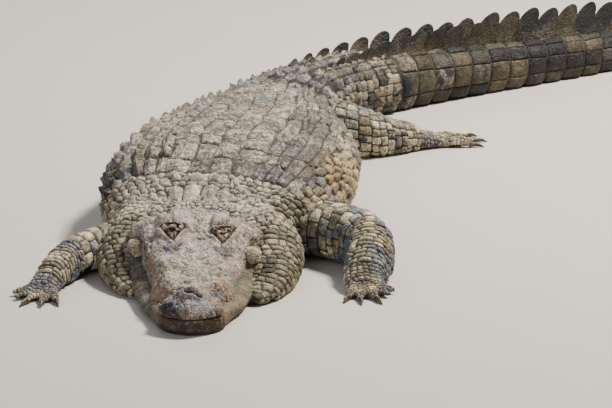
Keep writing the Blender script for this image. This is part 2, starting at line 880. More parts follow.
def ruled(along: Sequence[float], across: Sequence[float]) -> Array:
    """Cells between straight rows and columns.

    Args:
        along: borders of the rows.
        across: borders of the columns.

    Returns:
        Corners of the cells, as paved() gives them.
    """
    a, f = np.asarray(along, float), np.asarray(across, float)
    front, right = np.meshgrid(a[:-1], f[:-1], indexing="ij")
    rear, left = np.meshgrid(a[1:], f[1:], indexing="ij")
    corners = [(front, right), (front, left), (rear, right), (rear, left)]
    return np.stack([np.stack([x.ravel(), y.ravel()], axis=-1) for x, y in corners], axis=1)


class Skin:
    """The one skin under the coat, and the nearest place on it."""

    def __init__(self, piece: bpy.types.Object) -> None:
        """Keeps the skin's object.

        Args:
            piece: the object.
        """
        self.piece = piece

    def press(self, points: Array) -> Array:
        """Moves points onto the nearest place of the skin.

        Args:
            points: places near the skin.

        Returns:
            The places on the skin.
        """
        mesh = bpy.data.meshes.new("press")
        mesh.vertices.add(points.size // 3)
        mesh.vertices.foreach_set("co", np.ascontiguousarray(points, np.float32).ravel())
        cover = add_object("press", mesh)
        wrap = cover.modifiers.new("wrap", "SHRINKWRAP")
        wrap.target = self.piece
        wrap.wrap_method = "NEAREST_SURFACEPOINT"
        pressed = settled(cover)
        result = vertex_data(pressed).reshape(points.shape)
        bpy.data.objects.remove(cover)
        bpy.data.meshes.remove(mesh)
        bpy.data.meshes.remove(pressed)
        return result


@dataclass
class Patch:
    """Scales of one look on one surface."""

    surface: GridSurface
    cells: Array
    look: ScaleLook
    region: Region
    tint: tuple | None = None
    pressed: bool = True


@dataclass
class Coat:
    """One piece of the coat: scales of a few patches, joined into one mesh."""

    name: str
    slot: str
    patches: list[Patch]
    reach: float = 0.016
    smallest: float = 0.004
    seed: int = 1
    floor: float = 0.0006
    ceiling: float = 0.2993

    def build(self, skin: Skin) -> bpy.types.Object:
        """Makes the scales as solids on the skin.

        Each scale blends its four corners over a square of u (to the rear) and v (to the left), rounds the
        square's corners, presses the points to the skin, and raises them along the surface's normal by
        height (1 - u^n)(1 - v^n) + dome (1 - u^2)(1 - v^2) + keel bell(v) + tilt (u + 1) / 2.

        Args:
            skin: the skin that carries them.

        Returns:
            The piece.
        """
        found, faces, offset = [], [], 0
        for number, patch in enumerate(self.patches):
            solid = self._scales(patch, skin, self.seed + 17 * number)
            count, samples = solid[0].shape[:2]
            found.append([values.reshape(-1, values.shape[-1]) for values in solid])
            faces.extend(self._faces(count, samples, offset))
            offset += count * samples * samples
        points, marks, parts, places = (np.concatenate(values) for values in zip(*found))
        mesh = make_mesh(self.name, points, faces)
        paint(mesh, marks, parts)
        unwrap(mesh, places)
        LOG.info("%s: %d scales, %d triangles", self.name, sum(len(block) for block in faces[1::2]),
                 sum((block.shape[1] - 2) * len(block) for block in faces))
        return add_object(self.name, mesh)

    def _warped(self, base: Array, amount: float, length: Array, width: Array) -> Array:
        """Shifts points along the surface by a smooth random field, the same for neighbouring scales.

        Args:
            base: grids of points.
            amount: largest shift over the size of a scale.
            length: lengths of the scales.
            width: widths of the scales.

        Returns:
            The shifted points.
        """
        rear, left = unit(np.gradient(base, axis=1)), unit(np.gradient(base, axis=2))
        usual, breadth = float(np.median(length)), float(np.median(width))
        size = 1.25 * float(np.sqrt(np.median(length) * np.median(width)))
        first = (cloud(base, size, 101) - 0.5) * 2 * amount * usual
        second = (cloud(base, size, 137) - 0.5) * 2 * amount * breadth
        return base + rear * first[..., None] + left * second[..., None]

    def _faces(self, count: int, samples: int, offset: int) -> list[Array]:
        """Top faces and the closing face of every scale.

        Args:
            count: number of scales.
            samples: points along one edge of a scale.
            offset: number of the first vertex.

        Returns:
            Four-sided faces and many-sided faces.
        """
        index = np.arange(samples * samples).reshape(samples, samples)
        rim = np.concatenate([index[:-1, 0], index[-1, :-1], index[:0:-1, -1], index[0, :0:-1]])
        top = grid_faces(samples, samples)[:, (0, 3, 2, 1)]
        starts = offset + np.arange(count)[:, None] * samples * samples
        return [(top.reshape(-1)[None, :] + starts).reshape(-1, 4), rim[None, :] + starts]

    def _scales(self, patch: Patch, skin: Skin, seed: int) -> tuple[Array, Array, Array, Array]:
        """Works out the points of the scales of one patch.

        Args:
            patch: the patch.
            skin: the skin that carries them.
            seed: picks the random changes.

        Returns:
            Points, marks, parts and map places, each shaped (scales, samples, samples, ...).
        """
        look = patch.look
        rng = np.random.default_rng(seed)
        u, v = np.meshgrid(look.knots(), look.knots(), indexing="ij")
        corners, length, width = self._corners(patch, rng)
        seam = look.gap if look.seam is None else look.seam
        loose = rng.uniform(0.3, 1.8, len(length))
        grow_u = np.clip(1 - seam * loose / length, 0.5, 1.1)[:, None, None]
        grow_v = np.clip(1 - look.gap * loose / width, 0.5, 1)[:, None, None]
        su = (1 + u * np.sqrt(1 - look.roundness * v * v / 2) * grow_u) / 2
        sv = (1 + v * np.sqrt(1 - look.roundness * u * u / 2) * grow_v) / 2
        weights = np.stack([(1 - su) * (1 - sv), (1 - su) * sv, su * (1 - sv), su * sv], axis=-1)
        params = np.einsum("nijk,nkc->nijc", weights, corners)
        base = self._warped(patch.surface.at(params[..., 0], params[..., 1]), look.warp, length, width)
        pressed = skin.press(base) if patch.pressed else base
        keep = np.linalg.norm(pressed - base, axis=-1).mean(axis=(1, 2)) < self.reach
        pressed, corners, length, width = pressed[keep], corners[keep], length[keep], width[keep]

        shoulder = (1 - np.abs(u) ** look.edge) * (1 - np.abs(v) ** (look.edge * look.side_edge))
        ridge = bump(v, look.keel_width) * np.clip((u + 1.15) / 1.7, 0, 1) * (1 - u ** 8)
        rise = look.height * shoulder + look.dome * (1 - u * u) * (1 - v * v)
        rise = rise + look.keel * ridge + look.tilt * (u + 1) / 2 * shoulder
        small = np.clip(np.minimum(length, width) / 0.02, 0.35, 1.0)
        lift = (rng.uniform(1 - look.uneven, 1 + look.uneven, len(pressed)) * small)[:, None, None]
        each = (len(pressed), 1, 1)
        lean = rng.normal(0, 0.12, each) * u + rng.normal(0, 0.12, each) * v
        rough = (cloud(pressed, look.grit, 5, 2) - 0.5) * 2 * look.rough * shoulder
        rise = rise * lift * (1 + lean) + rough - look.sink * (1 - np.sign(shoulder))
        points = pressed + outward(pressed, 1) * rise[..., None]
        points[..., 2] = np.clip(points[..., 2], self.floor, self.ceiling)

        marks = self._marks(patch, pressed, ridge, rng)
        shape = points.shape[:-1]
        tone = np.broadcast_to(rng.uniform(0, 1, each), shape)
        parts = np.stack([tone] + [np.broadcast_to(values, shape) for values in (
            np.sqrt(shoulder), 0.5 + 0.5 * v, 0.5 + 0.5 * u)], axis=-1)
        start, end = patch.surface.start, patch.surface.end
        middle = corners.mean(axis=1)
        root = np.stack([(middle[:, 1] + 1.02) / 2.04, (middle[:, 0] - start) / (end - start)], axis=-1)
        root = 0.01 + 0.98 * np.clip(root, 0, 1)
        places = root[:, None, None, :] + 0.0015 * np.stack([v, u], axis=-1)[None]
        return points, marks, parts, places

    def _corners(self, patch: Patch, rng: np.random.Generator) -> tuple[Array, Array, Array]:
        """Moves the corners of a patch's cells a little and leaves out those that are too small.

        Args:
            patch: the patch.
            rng: source of the random changes.

        Returns:
            Corners, lengths and widths of the cells.
        """
        corners = patch.cells
        spans = np.stack([corners[:, 2, 0] - corners[:, 0, 0], corners[:, 1, 1] - corners[:, 0, 1]], axis=-1)
        corners = corners + rng.normal(0, patch.look.jitter * 0.5, corners.shape) * spans[:, None, :]
        p0, p1, p2, p3 = np.moveaxis(patch.surface.at(corners[..., 0], corners[..., 1]), 1, 0)
        length = np.linalg.norm(p2 + p3 - p0 - p1, axis=-1) / 2
        width = np.linalg.norm(p1 + p3 - p0 - p2, axis=-1) / 2
        keep = (length > self.smallest) & (width > self.smallest)
        return corners[keep], length[keep], width[keep]

    def _marks(self, patch: Patch, pressed: Array, ridge: Array, rng: np.random.Generator) -> Array:
        """Markings of the scales: half of each scale's own, half of the hide's, with some dark keels.

        Args:
            patch: the patch.
            pressed: feet of the scales' points on the skin.
            ridge: share of the keel at each point of a scale.
            rng: source of the random changes.

        Returns:
            The four amounts at each point.
        """
        look = patch.look
        plain = patch.tint is None
        if plain:
            mark = MARKINGS.at(pressed[:, look.samples // 2, look.samples // 2], patch.region)
        else:
            mark = np.broadcast_to(np.array(patch.tint), (len(pressed), 4))
        mark = mark * rng.uniform(0.75, 1.15, mark.shape) + rng.normal(0, 0.07, mark.shape)
        if plain:
            shares = {Region.TAIL: (0.75, 0.30), Region.TRUNK: (0.50, 0.15)}
            usual, pale = shares.get(patch.region, (0.60, 0.35))
            mark[:, 0] *= np.where(rng.uniform(0, 1, len(mark)) < usual, 1.15, pale)
        marks = np.broadcast_to(mark[:, None, None, :], pressed.shape[:-1] + (4,))
        speckled = np.where(rng.uniform(0, 1, len(mark)) < 0.55, look.keel * 60.0, 0.0)
        if plain and patch.region is not Region.TAIL:
            keeled = np.stack([ridge, 0 * ridge, 0.8 * ridge, -0.8 * ridge], axis=-1)[None]
            marks = (0.5 * marks + 0.5 * MARKINGS.at(pressed, patch.region)
                     + keeled * speckled[:, None, None, None])
        return np.clip(marks, 0, 1)


# ------------------------------------------------------------------ head

@dataclass
class HeadForm:
    """Skull, upper jaw and lower jaw: sections across a straight line from the snout backwards."""

    length: float = 0.62
    roll: float = 0.065
    roll_height: float = 0.060
    tip_start: float = 0.0045
    nose: float = 0.088
    chin_start: float = 0.0125
    chin: float = 0.062
    tip_power: float = 2.3
    shift: float = 0.0085
    slant: float = 0.20
    slant_from: float = 0.066
    brow_step: float = 0.004
    back: float = 0.596
    back_fall: float = 0.022
    jaw_floor: float = 0.003
    rows: tuple = (
        (4, 46, 62, 44, 50), (20, 66, 84, 44, 68), (45, 80, 94, 45, 80), (75, 86, 97, 44, 90),
        (110, 82, 92, 48, 99), (140, 81, 94, 50, 110), (200, 104, 102, 44, 134), (280, 110, 110, 48, 152),
        (340, 118, 122, 52, 164), (400, 132, 140, 62, 174), (450, 152, 152, 82, 182),
        (500, 168, 174, 104, 188), (560, 180, 186, 112, 192), (620, 188, 182, 112, 198),
    )

    def __post_init__(self) -> None:
        """Prepares the curves of half width, crown, lip and jaw."""
        self.half, self.crown, self.lip, self.jaw = (curve_through(self.rows, k, MM) for k in (1, 2, 3, 4))

    def relief(self, s: Array, side: Array) -> Array:
        """Height that the skull's own forms add.

        Bells and smooth steps of the distance s from the snout and of the distance from the middle line: the
        skull table's edges, the level brows that end in front in a slope for the lids, the trough between
        them, the nostril disc, the pinch behind it, the snout's bosses and the hollows before the eyes.

        Args:
            s: distance from the snout.
            side: distance to the left of the middle line.

        Returns:
            The added height.
        """
        level, away = self.turned(s, side)
        away = np.abs(away)
        table = ease(s, 0.500, 0.530) * ease(away, 0.074, 0.090)
        brow = (0.0125 + 0.10 * np.clip(away - 0.036, 0, 0.064)) * ease(away, 0.026, 0.042)
        brow = brow * ease(away, 0.124, 0.100) * ease(level, 0.424, 0.463) * ease(level, 0.560, 0.500)
        trough = bump(side, 0.022) * bump(s - 0.425, 0.050)
        disc = bump(side, 0.040) * bump(s - 0.074, 0.030)
        pinch = bump(s - 0.132, 0.018) * (0.4 + 0.6 * ease(away, 0.02, 0.06))
        boss = (bump(side + 0.070, 0.026) * bump(s - 0.208, 0.036)
                + bump(side - 0.080, 0.026) * bump(s - 0.190, 0.036))
        waist = bump(away - 0.082, 0.024) * bump(s - 0.266, 0.020)
        hollow = bump(away - 0.066, 0.028) * bump(s - 0.392, 0.026)
        bulge = bump(away - 0.090, 0.022) * bump(s - 0.322, 0.032)
        dip = bump(away - 0.036, 0.018) * bump(s - 0.270, 0.055)
        return (brow - 0.007 * trough + 0.023 * disc - 0.015 * pinch + 0.024 * boss - 0.012 * waist
                - 0.022 * hollow + 0.020 * bulge - 0.013 * dip - 0.018 * table)

    def turned(self, s: Array, side: Array) -> tuple[Array, Array]:
        """Place measured from the brows, which sit a little to the left and slant backwards to the left.

        Args:
            s: distance from the snout.
            side: distance to the left of the middle line.

        Returns:
            Distance along and distance to the left.
        """
        side = side - self.shift * ease(s, 0.34, 0.42)
        away = np.abs(side)
        slant = self.slant * np.sign(side) * (away - self.slant_from) * ease(away, 0.01, 0.03)
        return s - self.brow_step - slant * ease(s, 0.56, 0.52), side

    def unturned(self, level: Array, side: Array, half: Array) -> tuple[Array, Array]:
        """Place on the head of a point measured from the brows: undoes turned().

        Args:
            level: distance along.
            side: distance to the left.
            half: 1 on the left half of the head, -1 on the right one.

        Returns:
            Distance from the snout and distance to the left of the middle line.
        """
        return level + self.brow_step + self.slant * (side - self.slant_from * half), side + self.shift

    def powers(self, s: Array) -> tuple[Array, Array]:
        """Powers of the crown's section: round on the snout, squarer on the skull."""
        squarer = ease(s, 0.30, 0.47)
        return 1.06 - 0.18 * squarer, 0.92 - 0.28 * squarer

    def lean(self, side: Array, z: Array, lip: Array) -> Array:
        """How far a point sinks as the head leans to its left side above the lip line."""
        return self.roll * side * np.clip((z - lip) / self.roll_height, 0, 1)

    def place(self, s: Array, side: Array, z: Array, leaning: bool = True) -> Array:
        """Puts a point of the head into the frame.

        Args:
            s: distance from the snout.
            side: distance to the left of the middle line.
            z: height.
            leaning: whether it leans with the skull.

        Returns:
            The points.
        """
        height = z - self.lean(side, z, self.lip(s / MM)) if leaning else z + 0 * side
        return np.stack([SPINE.snout[0] + side + 0 * s, SPINE.snout[1] + s + 0 * side, height], axis=-1)

    def blunt(self, s: Array, start: float, length: float) -> Array:
        """How far sections shrink towards a rounded tip: (1 - (1 - t)^p)^(1 / p) at a share t of the tip.

        Args:
            s: distance from the snout.
            start: where the tip starts.
            length: its length.

        Returns:
            The factor on the width.
        """
        t = np.clip((s - start) / length, 0, 1)
        return np.maximum(1 - (1 - t) ** self.tip_power, 0) ** (1 / self.tip_power)

    def tip(self, s: Array) -> Array:
        """How far the sections shrink towards the tip of the snout."""
        return self.blunt(s, self.tip_start, self.nose)

    def width(self, s: Array, inset: float = 0.0) -> Array:
        """Half width of the upper jaw and skull, pinched behind the nostril disc."""
        return (self.half(s / MM) - inset) * self.tip(s) * (1 - 0.13 * bump(s - 0.128, 0.022))

    def rear(self, s: Array) -> Array:
        """How far the crown falls at the back of the skull table."""
        t = np.clip((s - self.back) / self.back_fall, 0, 1)
        return np.sqrt(np.maximum(1 - t * t, 0))

    def upper_section(self, s: Array, angle: Array, inset: float = 0.0) -> Array:
        """Crown of the skull and upper jaw, from the left lip over the crown to the right lip.

        Args:
            s: distance from the snout.
            angle: direction round the section, from 0 to pi.
            inset: how much smaller the section is.

        Returns:
            The points.
        """
        place = s / MM
        tip = self.tip(s)
        half = self.width(s, inset)
        low, high = self.lip(place), self.crown(place) - inset
        side_power, up_power = self.powers(s)
        across, up = np.cos(angle), np.clip(np.sin(angle), 0, 1) ** up_power
        side = half * np.sign(across) * np.abs(across) ** side_power
        base = low + 0.4 * (high - low) * (1 - tip) * 0.6
        top = base + (high - base) * (0.35 + 0.65 * tip)
        z = base + (top - base) * up * (0.25 + 0.75 * self.rear(s))
        z = z + self.relief(s, side) * np.minimum(up * 1.4, 1) * tip * self.rear(s)
        return self.place(s, side, z)

    def jaw_section(self, s: Array, angle: Array) -> Array:
        """Lower jaw, from the middle of its flat underside round one flank to the lip shelf and back.

        Args:
            s: distance from the snout.
            angle: direction round the section, a whole turn from straight down.

        Returns:
            The points.
        """
        place = s / MM
        top = self.lip(place) + 0.0045 * ease(s, 0.12, 0.24) + 0.0005
        half = self.jaw(place) * self.blunt(s, self.chin_start, self.chin)
        shelf = np.maximum(self.half(place) * self.tip(s) - 0.005, half * 0.6)
        straight = ease(s, 0.10, 0.22)
        across, up = np.sin(angle), -np.cos(angle)
        rounded = np.abs(across) ** (0.8 + 0.9 * straight)
        reach = np.where(up > 0, shelf + (half - shelf) * rounded, half * (0.86 + 0.14 * rounded))
        steepest = 0.98
        reach = reach * np.where(np.abs(up) > steepest, np.abs(across) / 0.199, 1.0)
        middle = 0.5 * top
        rise = np.abs(up) ** np.where(up > 0, 0.8 + 0.7 * straight, 0.8)
        z = middle + (middle - self.jaw_floor) * np.sign(up) * rise
        return self.place(s, reach * np.sign(across), np.maximum(z, self.jaw_floor), False)

    def skull_point(self, s: Array, side: Array) -> Array:
        """Point of the crown at a distance from the snout and from the middle line.

        Args:
            s: distance from the snout.
            side: distance to the left of the middle line.

        Returns:
            The points.
        """
        across = np.clip(np.abs(side) / self.width(s), 0, 1) ** (1 / self.powers(s)[0])
        angle = np.where(side > 0, np.arccos(across), np.pi - np.arccos(across))
        return self.upper_section(s, angle)


HEAD = HeadForm()


@dataclass
class HeadHide:
    """The hide of the head, whose scales are fused to the bone: one fine closed surface for each jaw."""

    upper_name: str = "head_hide_upper"
    lower_name: str = "head_hide_lower"
    spacing: float = 0.0022
    tip_end: float = 0.060
    noises: tuple = ((0.05, 3), (0.022, 11), (0.010, 19))
    floor: float = 0.0008
    ceiling: float = 0.299

    def stations(self) -> Array:
        """Places of the sections, closer together at the tip of the snout and the back of the skull.

        Returns:
            Distances from the snout.
        """
        tip = HEAD.tip_start + 0.0555 * np.linspace(0, 1, 30) ** 1.7
        middle = np.arange(self.tip_end + self.spacing, HEAD.back, self.spacing)
        rear = HEAD.back + HEAD.back_fall * np.sin(np.linspace(0.05, 0.25 * TURN, 12))
        return np.concatenate([tip, middle, rear])

    def upper_relief(self, points: Array, girth: Array) -> tuple[Array, Array, Array]:
        """Fine form of the skull's hide.

        Args:
            points: grid of the smooth crown.
            girth: distance of each point from the middle line, round the section.

        Returns:
            Displacement outwards, share of cavity from 0 in a groove to 1, and random tone of the scale.
        """
        s = points[..., 1] - SPINE.snout[1]
        side = points[..., 0] - SPINE.snout[0]
        level, turned = HEAD.turned(s, side)
        away = np.abs(turned)
        lip = HEAD.lip(s / MM)
        above = points[..., 2] - lip
        warp = (cloud(points, 0.035, 31, 2) - 0.5) * 0.020
        edge, tone = cracks(s + warp, girth - warp, 0.019, 3)
        fine_edge, fine_tone = cracks(s - warp, girth + warp, 0.0085, 4)
        snout = ease(s, 0.42, 0.36)
        small = np.clip(bump(away - 0.075, 0.034) * bump(s - 0.452, 0.045) * 1.6
                        + ease(above, 0.030, 0.012) * 0.5, 0, 1)
        groove = bump(edge, 0.10) * (1 - small) * (0.35 + 0.65 * (1 - snout * 0.6))
        fine_groove = bump(fine_edge, 0.13) * (0.25 + 0.75 * small)
        rugged = 0.55 * (cloud(points, 0.050, 7, 2) - 0.5) + 0.65 * (cloud(points, 0.024, 17, 3) - 0.5)
        pits = np.clip(cloud(points, 0.009, 9, 2) - 0.56, 0, 1)
        grit = cloud(points, 0.0065, 13, 2) - 0.5
        lift = rugged * 0.0155 * (1 - 0.4 * small) - pits * 0.012 * (1 - small) + grit * 0.0026
        lift = lift - 0.0021 * groove - 0.0012 * fine_groove + (tone - 0.5) * 0.0020 * (1 - small)
        cavity = 1 - np.clip(0.75 * groove + 0.55 * fine_groove + 2.2 * pits, 0, 1)
        labial = ease(above, 0.020, 0.012) * ease(above, -0.002, 0.003)
        seams = np.abs(((s + 0.3 * warp) / 0.021) % 1.0 - 0.5) * 2
        seam = bump(1 - seams, 0.16) * labial
        lift = lift - 0.0022 * seam + 0.0018 * labial * (1 - seam)
        cavity = cavity * (1 - 0.8 * seam)
        slits = self._nostrils(s, side)
        lift = lift + slits + self._ridges(s, side, away, above)
        cavity = cavity * (1 - np.clip(-slits / 0.005, 0, 1) ** 2)
        pocket = bump(s - 0.474, 0.030) * bump(above - 0.006, 0.022) * ease(away, 0.115, 0.135)
        cavity = cavity * (1 - 0.85 * pocket)
        crease, rim = self._lid_edge(level, away)
        lift = lift - 0.0065 * crease + 0.0040 * rim
        mouth = 0.40 * ease(above, 0.0045, 0.0010) * ease(s, 0.34, 0.16)
        cavity = cavity * (1 - 0.95 * crease) * (1 - mouth)
        return lift, cavity, 0.6 * tone + 0.4 * fine_tone

    def _nostrils(self, s: Array, side: Array) -> Array:
        """Two crescent slits in the nostril disc with raised rims, and the disc's own groove.

        Args:
            s: distance from the snout.
            side: distance to the left of the middle line.

        Returns:
            Displacement outwards.
        """
        total = np.zeros(s.shape)
        for direction in (-1, 1):
            local = side - 0.0055 - direction * 0.0128
            line = s - 0.0570 - 0.003 * (local / 0.014) ** 2 + 0.17 * side
            within = ease(np.abs(local), 0.0135, 0.0115)
            total = total - 0.0130 * bump(line, 0.0034) * within
            total = total + 0.0048 * bump(line + 0.0095, 0.0050) * within
            total = total + 0.0030 * bump(line - 0.0105, 0.0060) * within
        radius = np.hypot(side / 0.052, (s - 0.072) / 0.042)
        return total - 0.0042 * bump(radius - 1, 0.13) * ease(s, 0.03, 0.06)

    def _ridges(self, s: Array, side: Array, away: Array, above: Array) -> Array:
        """Ridges before the eyes, edges and pits of the skull table, the cheek domes and their pockets.

        Args:
            s: distance from the snout.
            side: distance to the left of the middle line.
            away: distance from the middle between the brows.
            above: height above the lip.

        Returns:
            Displacement outwards.
        """
        canthal = bump(away - (0.040 + 0.10 * (s - 0.36)), 0.012)
        canthal = canthal * ease(s, 0.24, 0.34) * ease(s, 0.44, 0.41)
        middle = bump(side + 0.004 * np.sin(s * 60), 0.007) * ease(s, 0.12, 0.17) * ease(s, 0.40, 0.30)
        rim = bump(away - 0.064, 0.007) * ease(s, 0.475, 0.50) * ease(s, 0.605, 0.585)
        pit = bump(away - 0.032, 0.016) * bump(s - 0.545, 0.022)
        cheek = bump(s - 0.522, 0.042) * bump(above - 0.048, 0.024) * ease(away, 0.10, 0.125)
        pocket = bump(s - 0.474, 0.027) * bump(above - 0.010, 0.020) * ease(away, 0.115, 0.135)
        return (0.0036 * canthal + 0.0020 * middle + 0.0040 * rim - 0.0040 * pit + 0.016 * cheek
                - 0.021 * pocket)

    def _lid_edge(self, level: Array, away: Array) -> tuple[Array, Array]:
        """Crease along the lower edges of the lids and the swollen rim outside it.

        Both follow the border of a triangle with curved sides, which narrows to 1 - q^1.25 at a share q of
        its depth.

        Args:
            level: distance along, measured from the brows.
            away: distance from the middle between the brows.

        Returns:
            Shares of crease and rim, from 0 to 1.
        """
        q = (Lid.top - level) / Lid.depth
        width = Lid.half * (1 - np.clip(q, 0, 1) ** Lid.power)
        beyond = np.hypot(np.abs(away - 0.067) - width, Lid.depth * np.clip(q - 1, 0, None))
        within = ease(q, -0.12, 0.02) * ease(q, 1.30, 1.05)
        return bump(beyond, 0.0034) * within, bump(beyond - 0.010, 0.0055) * within

    def build_upper(self) -> bpy.types.Object:
        """Makes the skull and upper jaw.

        Returns:
            The piece.
        """
        s = self.stations()
        rings = HEAD.upper_section(s[:, None], np.linspace(0, np.pi, 4 * 225)[None, :])
        grid = even_girth(rings, 226)[:, ::-1]
        run = run_length(grid)
        girth = run - 0.5 * run[:, -1:]
        lift, cavity, tone = self.upper_relief(grid, girth)
        fade = HEAD.tip(grid[..., 1] - SPINE.snout[1]) * np.minimum(1, HEAD.rear(s)[:, None] + 0.1)
        return self._shell(self.upper_name, grid, lift * fade, cavity, tone, Region.HEAD, 0.006)

    def build_lower(self) -> bpy.types.Object:
        """Makes the lower jaw, with upright wrinkles on its flanks.

        Returns:
            The piece.
        """
        s = self.stations()
        s = s + 0.008 * ease(s, 0.09, HEAD.tip_start)
        low, high = 0.16, 0.10
        turns = np.linspace(low, np.pi - high, 700), np.linspace(TURN - low, np.pi + high, 700)
        near, far = (even_girth(HEAD.jaw_section(s[:, None], turn[None, :]), 74) for turn in turns)
        grid = np.concatenate([near, far[:, ::-1]], axis=1)[:, ::-1]
        station = grid[..., 1] - SPINE.snout[1]
        lip = HEAD.lip(station / MM)
        height = np.clip(grid[..., 2] / lip, 0, 1)
        warp = (cloud(grid, 0.03, 41, 2) - 0.5) * 0.016
        folds = np.sin((station + warp) * TURN / 0.0105)
        edge, tone = cracks(station + warp, grid[..., 2] * 0.8 + warp, 0.017, 8)
        groove = bump(edge, 0.11)
        labial = ease(height, 0.62, 0.78)
        lift = folds * 0.0006 + (cloud(grid, 0.028, 43, 3) - 0.5) * 0.006 - 0.0014 * groove
        lift = lift + 0.0016 * labial
        lift = lift * ease(height, 0.02, 0.2) * HEAD.tip(station)
        cavity = 1 - np.clip(0.8 * groove + 0.3 * (folds < -0.5) + 0.75 * ease(height, 0.90, 0.99), 0, 1)
        return self._shell(self.lower_name, grid, lift, cavity, tone, Region.JAW, 0.0)

    def _shell(self, name: str, grid: Array, lift: Array, cavity: Array, tone: Array, region: Region,
               tuck: float) -> bpy.types.Object:
        """Displaces a grid, closes it below and dresses it.

        Args:
            name: the piece's name.
            grid: smooth surface.
            lift: displacement outwards.
            cavity: share of cavity.
            tone: random tone.
            region: the kind of hide.
            tuck: how far the closing strip runs in under the lip.

        Returns:
            The piece.
        """
        points = grid + outward(grid) * lift[..., None]
        points[..., 2] = np.clip(points[..., 2], self.floor, self.ceiling)
        for corner in CORNERS:
            apart = np.linalg.norm((points - corner.centre()) / np.array(corner.radii), axis=-1)
            cavity = cavity * (1 - 0.95 * bump(apart - 1.15, 0.17))
        extra = 0
        if tuck:
            shares = np.array([0.04, 0.12, 0.5, 0.88, 0.96])[None, :, None]
            depth = np.array([0.003, tuck, tuck, tuck, 0.003])[None, :]
            under = points[:, -1:] * (1 - shares) + points[:, :1] * shares
            under[..., 2] -= depth * HEAD.tip(under[..., 1] - SPINE.snout[1])
            points = np.concatenate([points, under], axis=1)
            extra = depth.size
        pad = ((0, 0), (0, extra))
        mark, stain = self._marks(points, region)
        part = np.stack([np.pad(tone, pad, mode="edge"), np.pad(cavity, pad, constant_values=0.0),
                         stain, np.full(stain.shape, 0.5)], axis=-1)
        mesh = tube_mesh(name, [points], True)
        paint(mesh, mark, part)
        LOG.info("%s: %d x %d points", name, *points.shape[:2])
        return add_object(name, mesh)

    def _marks(self, points: Array, region: Region) -> tuple[Array, Array]:
        """Colours of the head: pale dry mud above, browner flanks, grey on the nose, rusty lips.

        Args:
            points: grid of the surface.
            region: head or jaw.

        Returns:
            The four amounts of dark, brown, blue-grey and mud, and the amount of rust.
        """
        s = points[..., 1] - SPINE.snout[1]
        side = points[..., 0] - SPINE.snout[0]
        lip, crown = HEAD.lip(s / MM), HEAD.crown(s / MM)
        level = points[..., 2] + HEAD.lean(side, points[..., 2], lip)
        share = (level - lip) / np.maximum(crown - lip, 0.02)
        blotch, patch, spot = (cloud(points, size, seed, 2) for size, seed in self.noises)
        if region is Region.HEAD:
            fine = cloud(points, 0.014, 57, 2)
            dark, brown, blue, mud = self._skull_marks(s, side, share, blotch, patch, spot, fine)
            near = bump(share, 0.22)
        else:
            low = np.clip(points[..., 2] / np.maximum(lip, 0.01), 0, 1)
            dark = (0.35 * ease(spot, 0.60, 0.70) + 0.45 * ease(low, 0.35, 0.05)
                    + 0.60 * ease(s, 0.13, 0.05))
            brown = 0.75 * ease(side, -0.01, 0.07) + 0.25 * patch
            blue = 0.45 * ease(side, 0.0, -0.08) * ease(patch, 0.35, 0.6)
            mud = 0.35 * ease(s, 0.05, 0.16) + 0.6 * (blotch - 0.5)
            near = 0.75 * bump(low - 0.62, 0.26)
        rust = near * ease(s, 0.20, 0.05) * ease(spot + 0.5 * (patch - 0.5), 0.48, 0.66)
        mark = np.clip(np.stack([dark, brown, blue, mud], axis=-1), 0, 1)
        return mark, np.clip(rust, 0, 1)

    def _skull_marks(self, s: Array, side: Array, share: Array, blotch: Array, patch: Array, spot: Array,
                     fine: Array) -> tuple[Array, Array, Array, Array]:
        """Colours of the skull and upper jaw.

        Args:
            s: distance from the snout.
            side: distance to the left of the middle line.
            share: height between the lip, 0, and the crown, 1.
            blotch: the widest random field.
            patch: the middle one.
            spot: the narrow one.
            fine: one between those two.

        Returns:
            Amounts of dark, brown, blue-grey and mud.
        """
        top, front = ease(share, 0.30, 0.95), ease(s, 0.16, 0.08)
        away = np.abs(side - HEAD.shift * ease(s, 0.34, 0.42))
        grey = bump(side + 0.056, 0.036) * bump(s - 0.048, 0.034)
        shine = bump(side - 0.018, 0.026) * bump(s - 0.040, 0.022)
        low_front = ease(share, 0.80, 0.25) * ease(s, 0.13, 0.04)
        mound = (bump(side + 0.078, 0.032) * bump(s - 0.200, 0.050)
                 + bump(side - 0.086, 0.030) * bump(s - 0.175, 0.050))
        shade = (bump(away - 0.066, 0.034) * bump(s - 0.400, 0.018)
                 + 0.6 * bump(s - 0.136, 0.014) * ease(away, 0.02, 0.06)
                 + 0.8 * bump(away - 0.082, 0.026) * bump(s - 0.266, 0.018))
        line = bump(s - 0.150 + 0.35 * (away - 0.06), 0.006) * ease(away, 0.030, 0.050)
        shade = (shade + 0.8 * line) * ease(patch, 0.30, 0.55)
        dark = (0.42 * grey * ease(patch, 0.10, 0.50) + 0.26 * ease(spot, 0.58, 0.70)
                + 0.62 * low_front * ease(patch, 0.30, 0.60)) + 0.60 * shade
        brown = 0.60 * (1 - top) + 0.55 * ease(blotch, 0.46, 0.62) + 0.50 * front + 1.0 * mound
        brown = brown * (1 - 0.65 * ease(s, 0.41, 0.47))
        blue = (0.95 * shine + 0.60 * ease(patch, 0.56, 0.68) + 0.55 * ease(fine, 0.54, 0.64)
                + 0.5 * bump(np.abs(side) - 0.066, 0.026) * bump(s - 0.385, 0.030))
        blue = blue + 0.5 * shade + 0.6 * grey
        mud = (0.18 + 0.62 * top - 0.30 * front + 1.1 * (blotch - 0.5) - 0.6 * grey - 0.5 * low_front
               + 0.5 * shine)
        mud = (mud - 0.6 * shade - 0.45 * mound - 0.35 * front
               + 0.20 * bump(side, 0.07) * bump(s - 0.46, 0.10))
        mud = mud + 0.35 * ease(side, 0.08, 0.13) * ease(s, 0.40, 0.46)
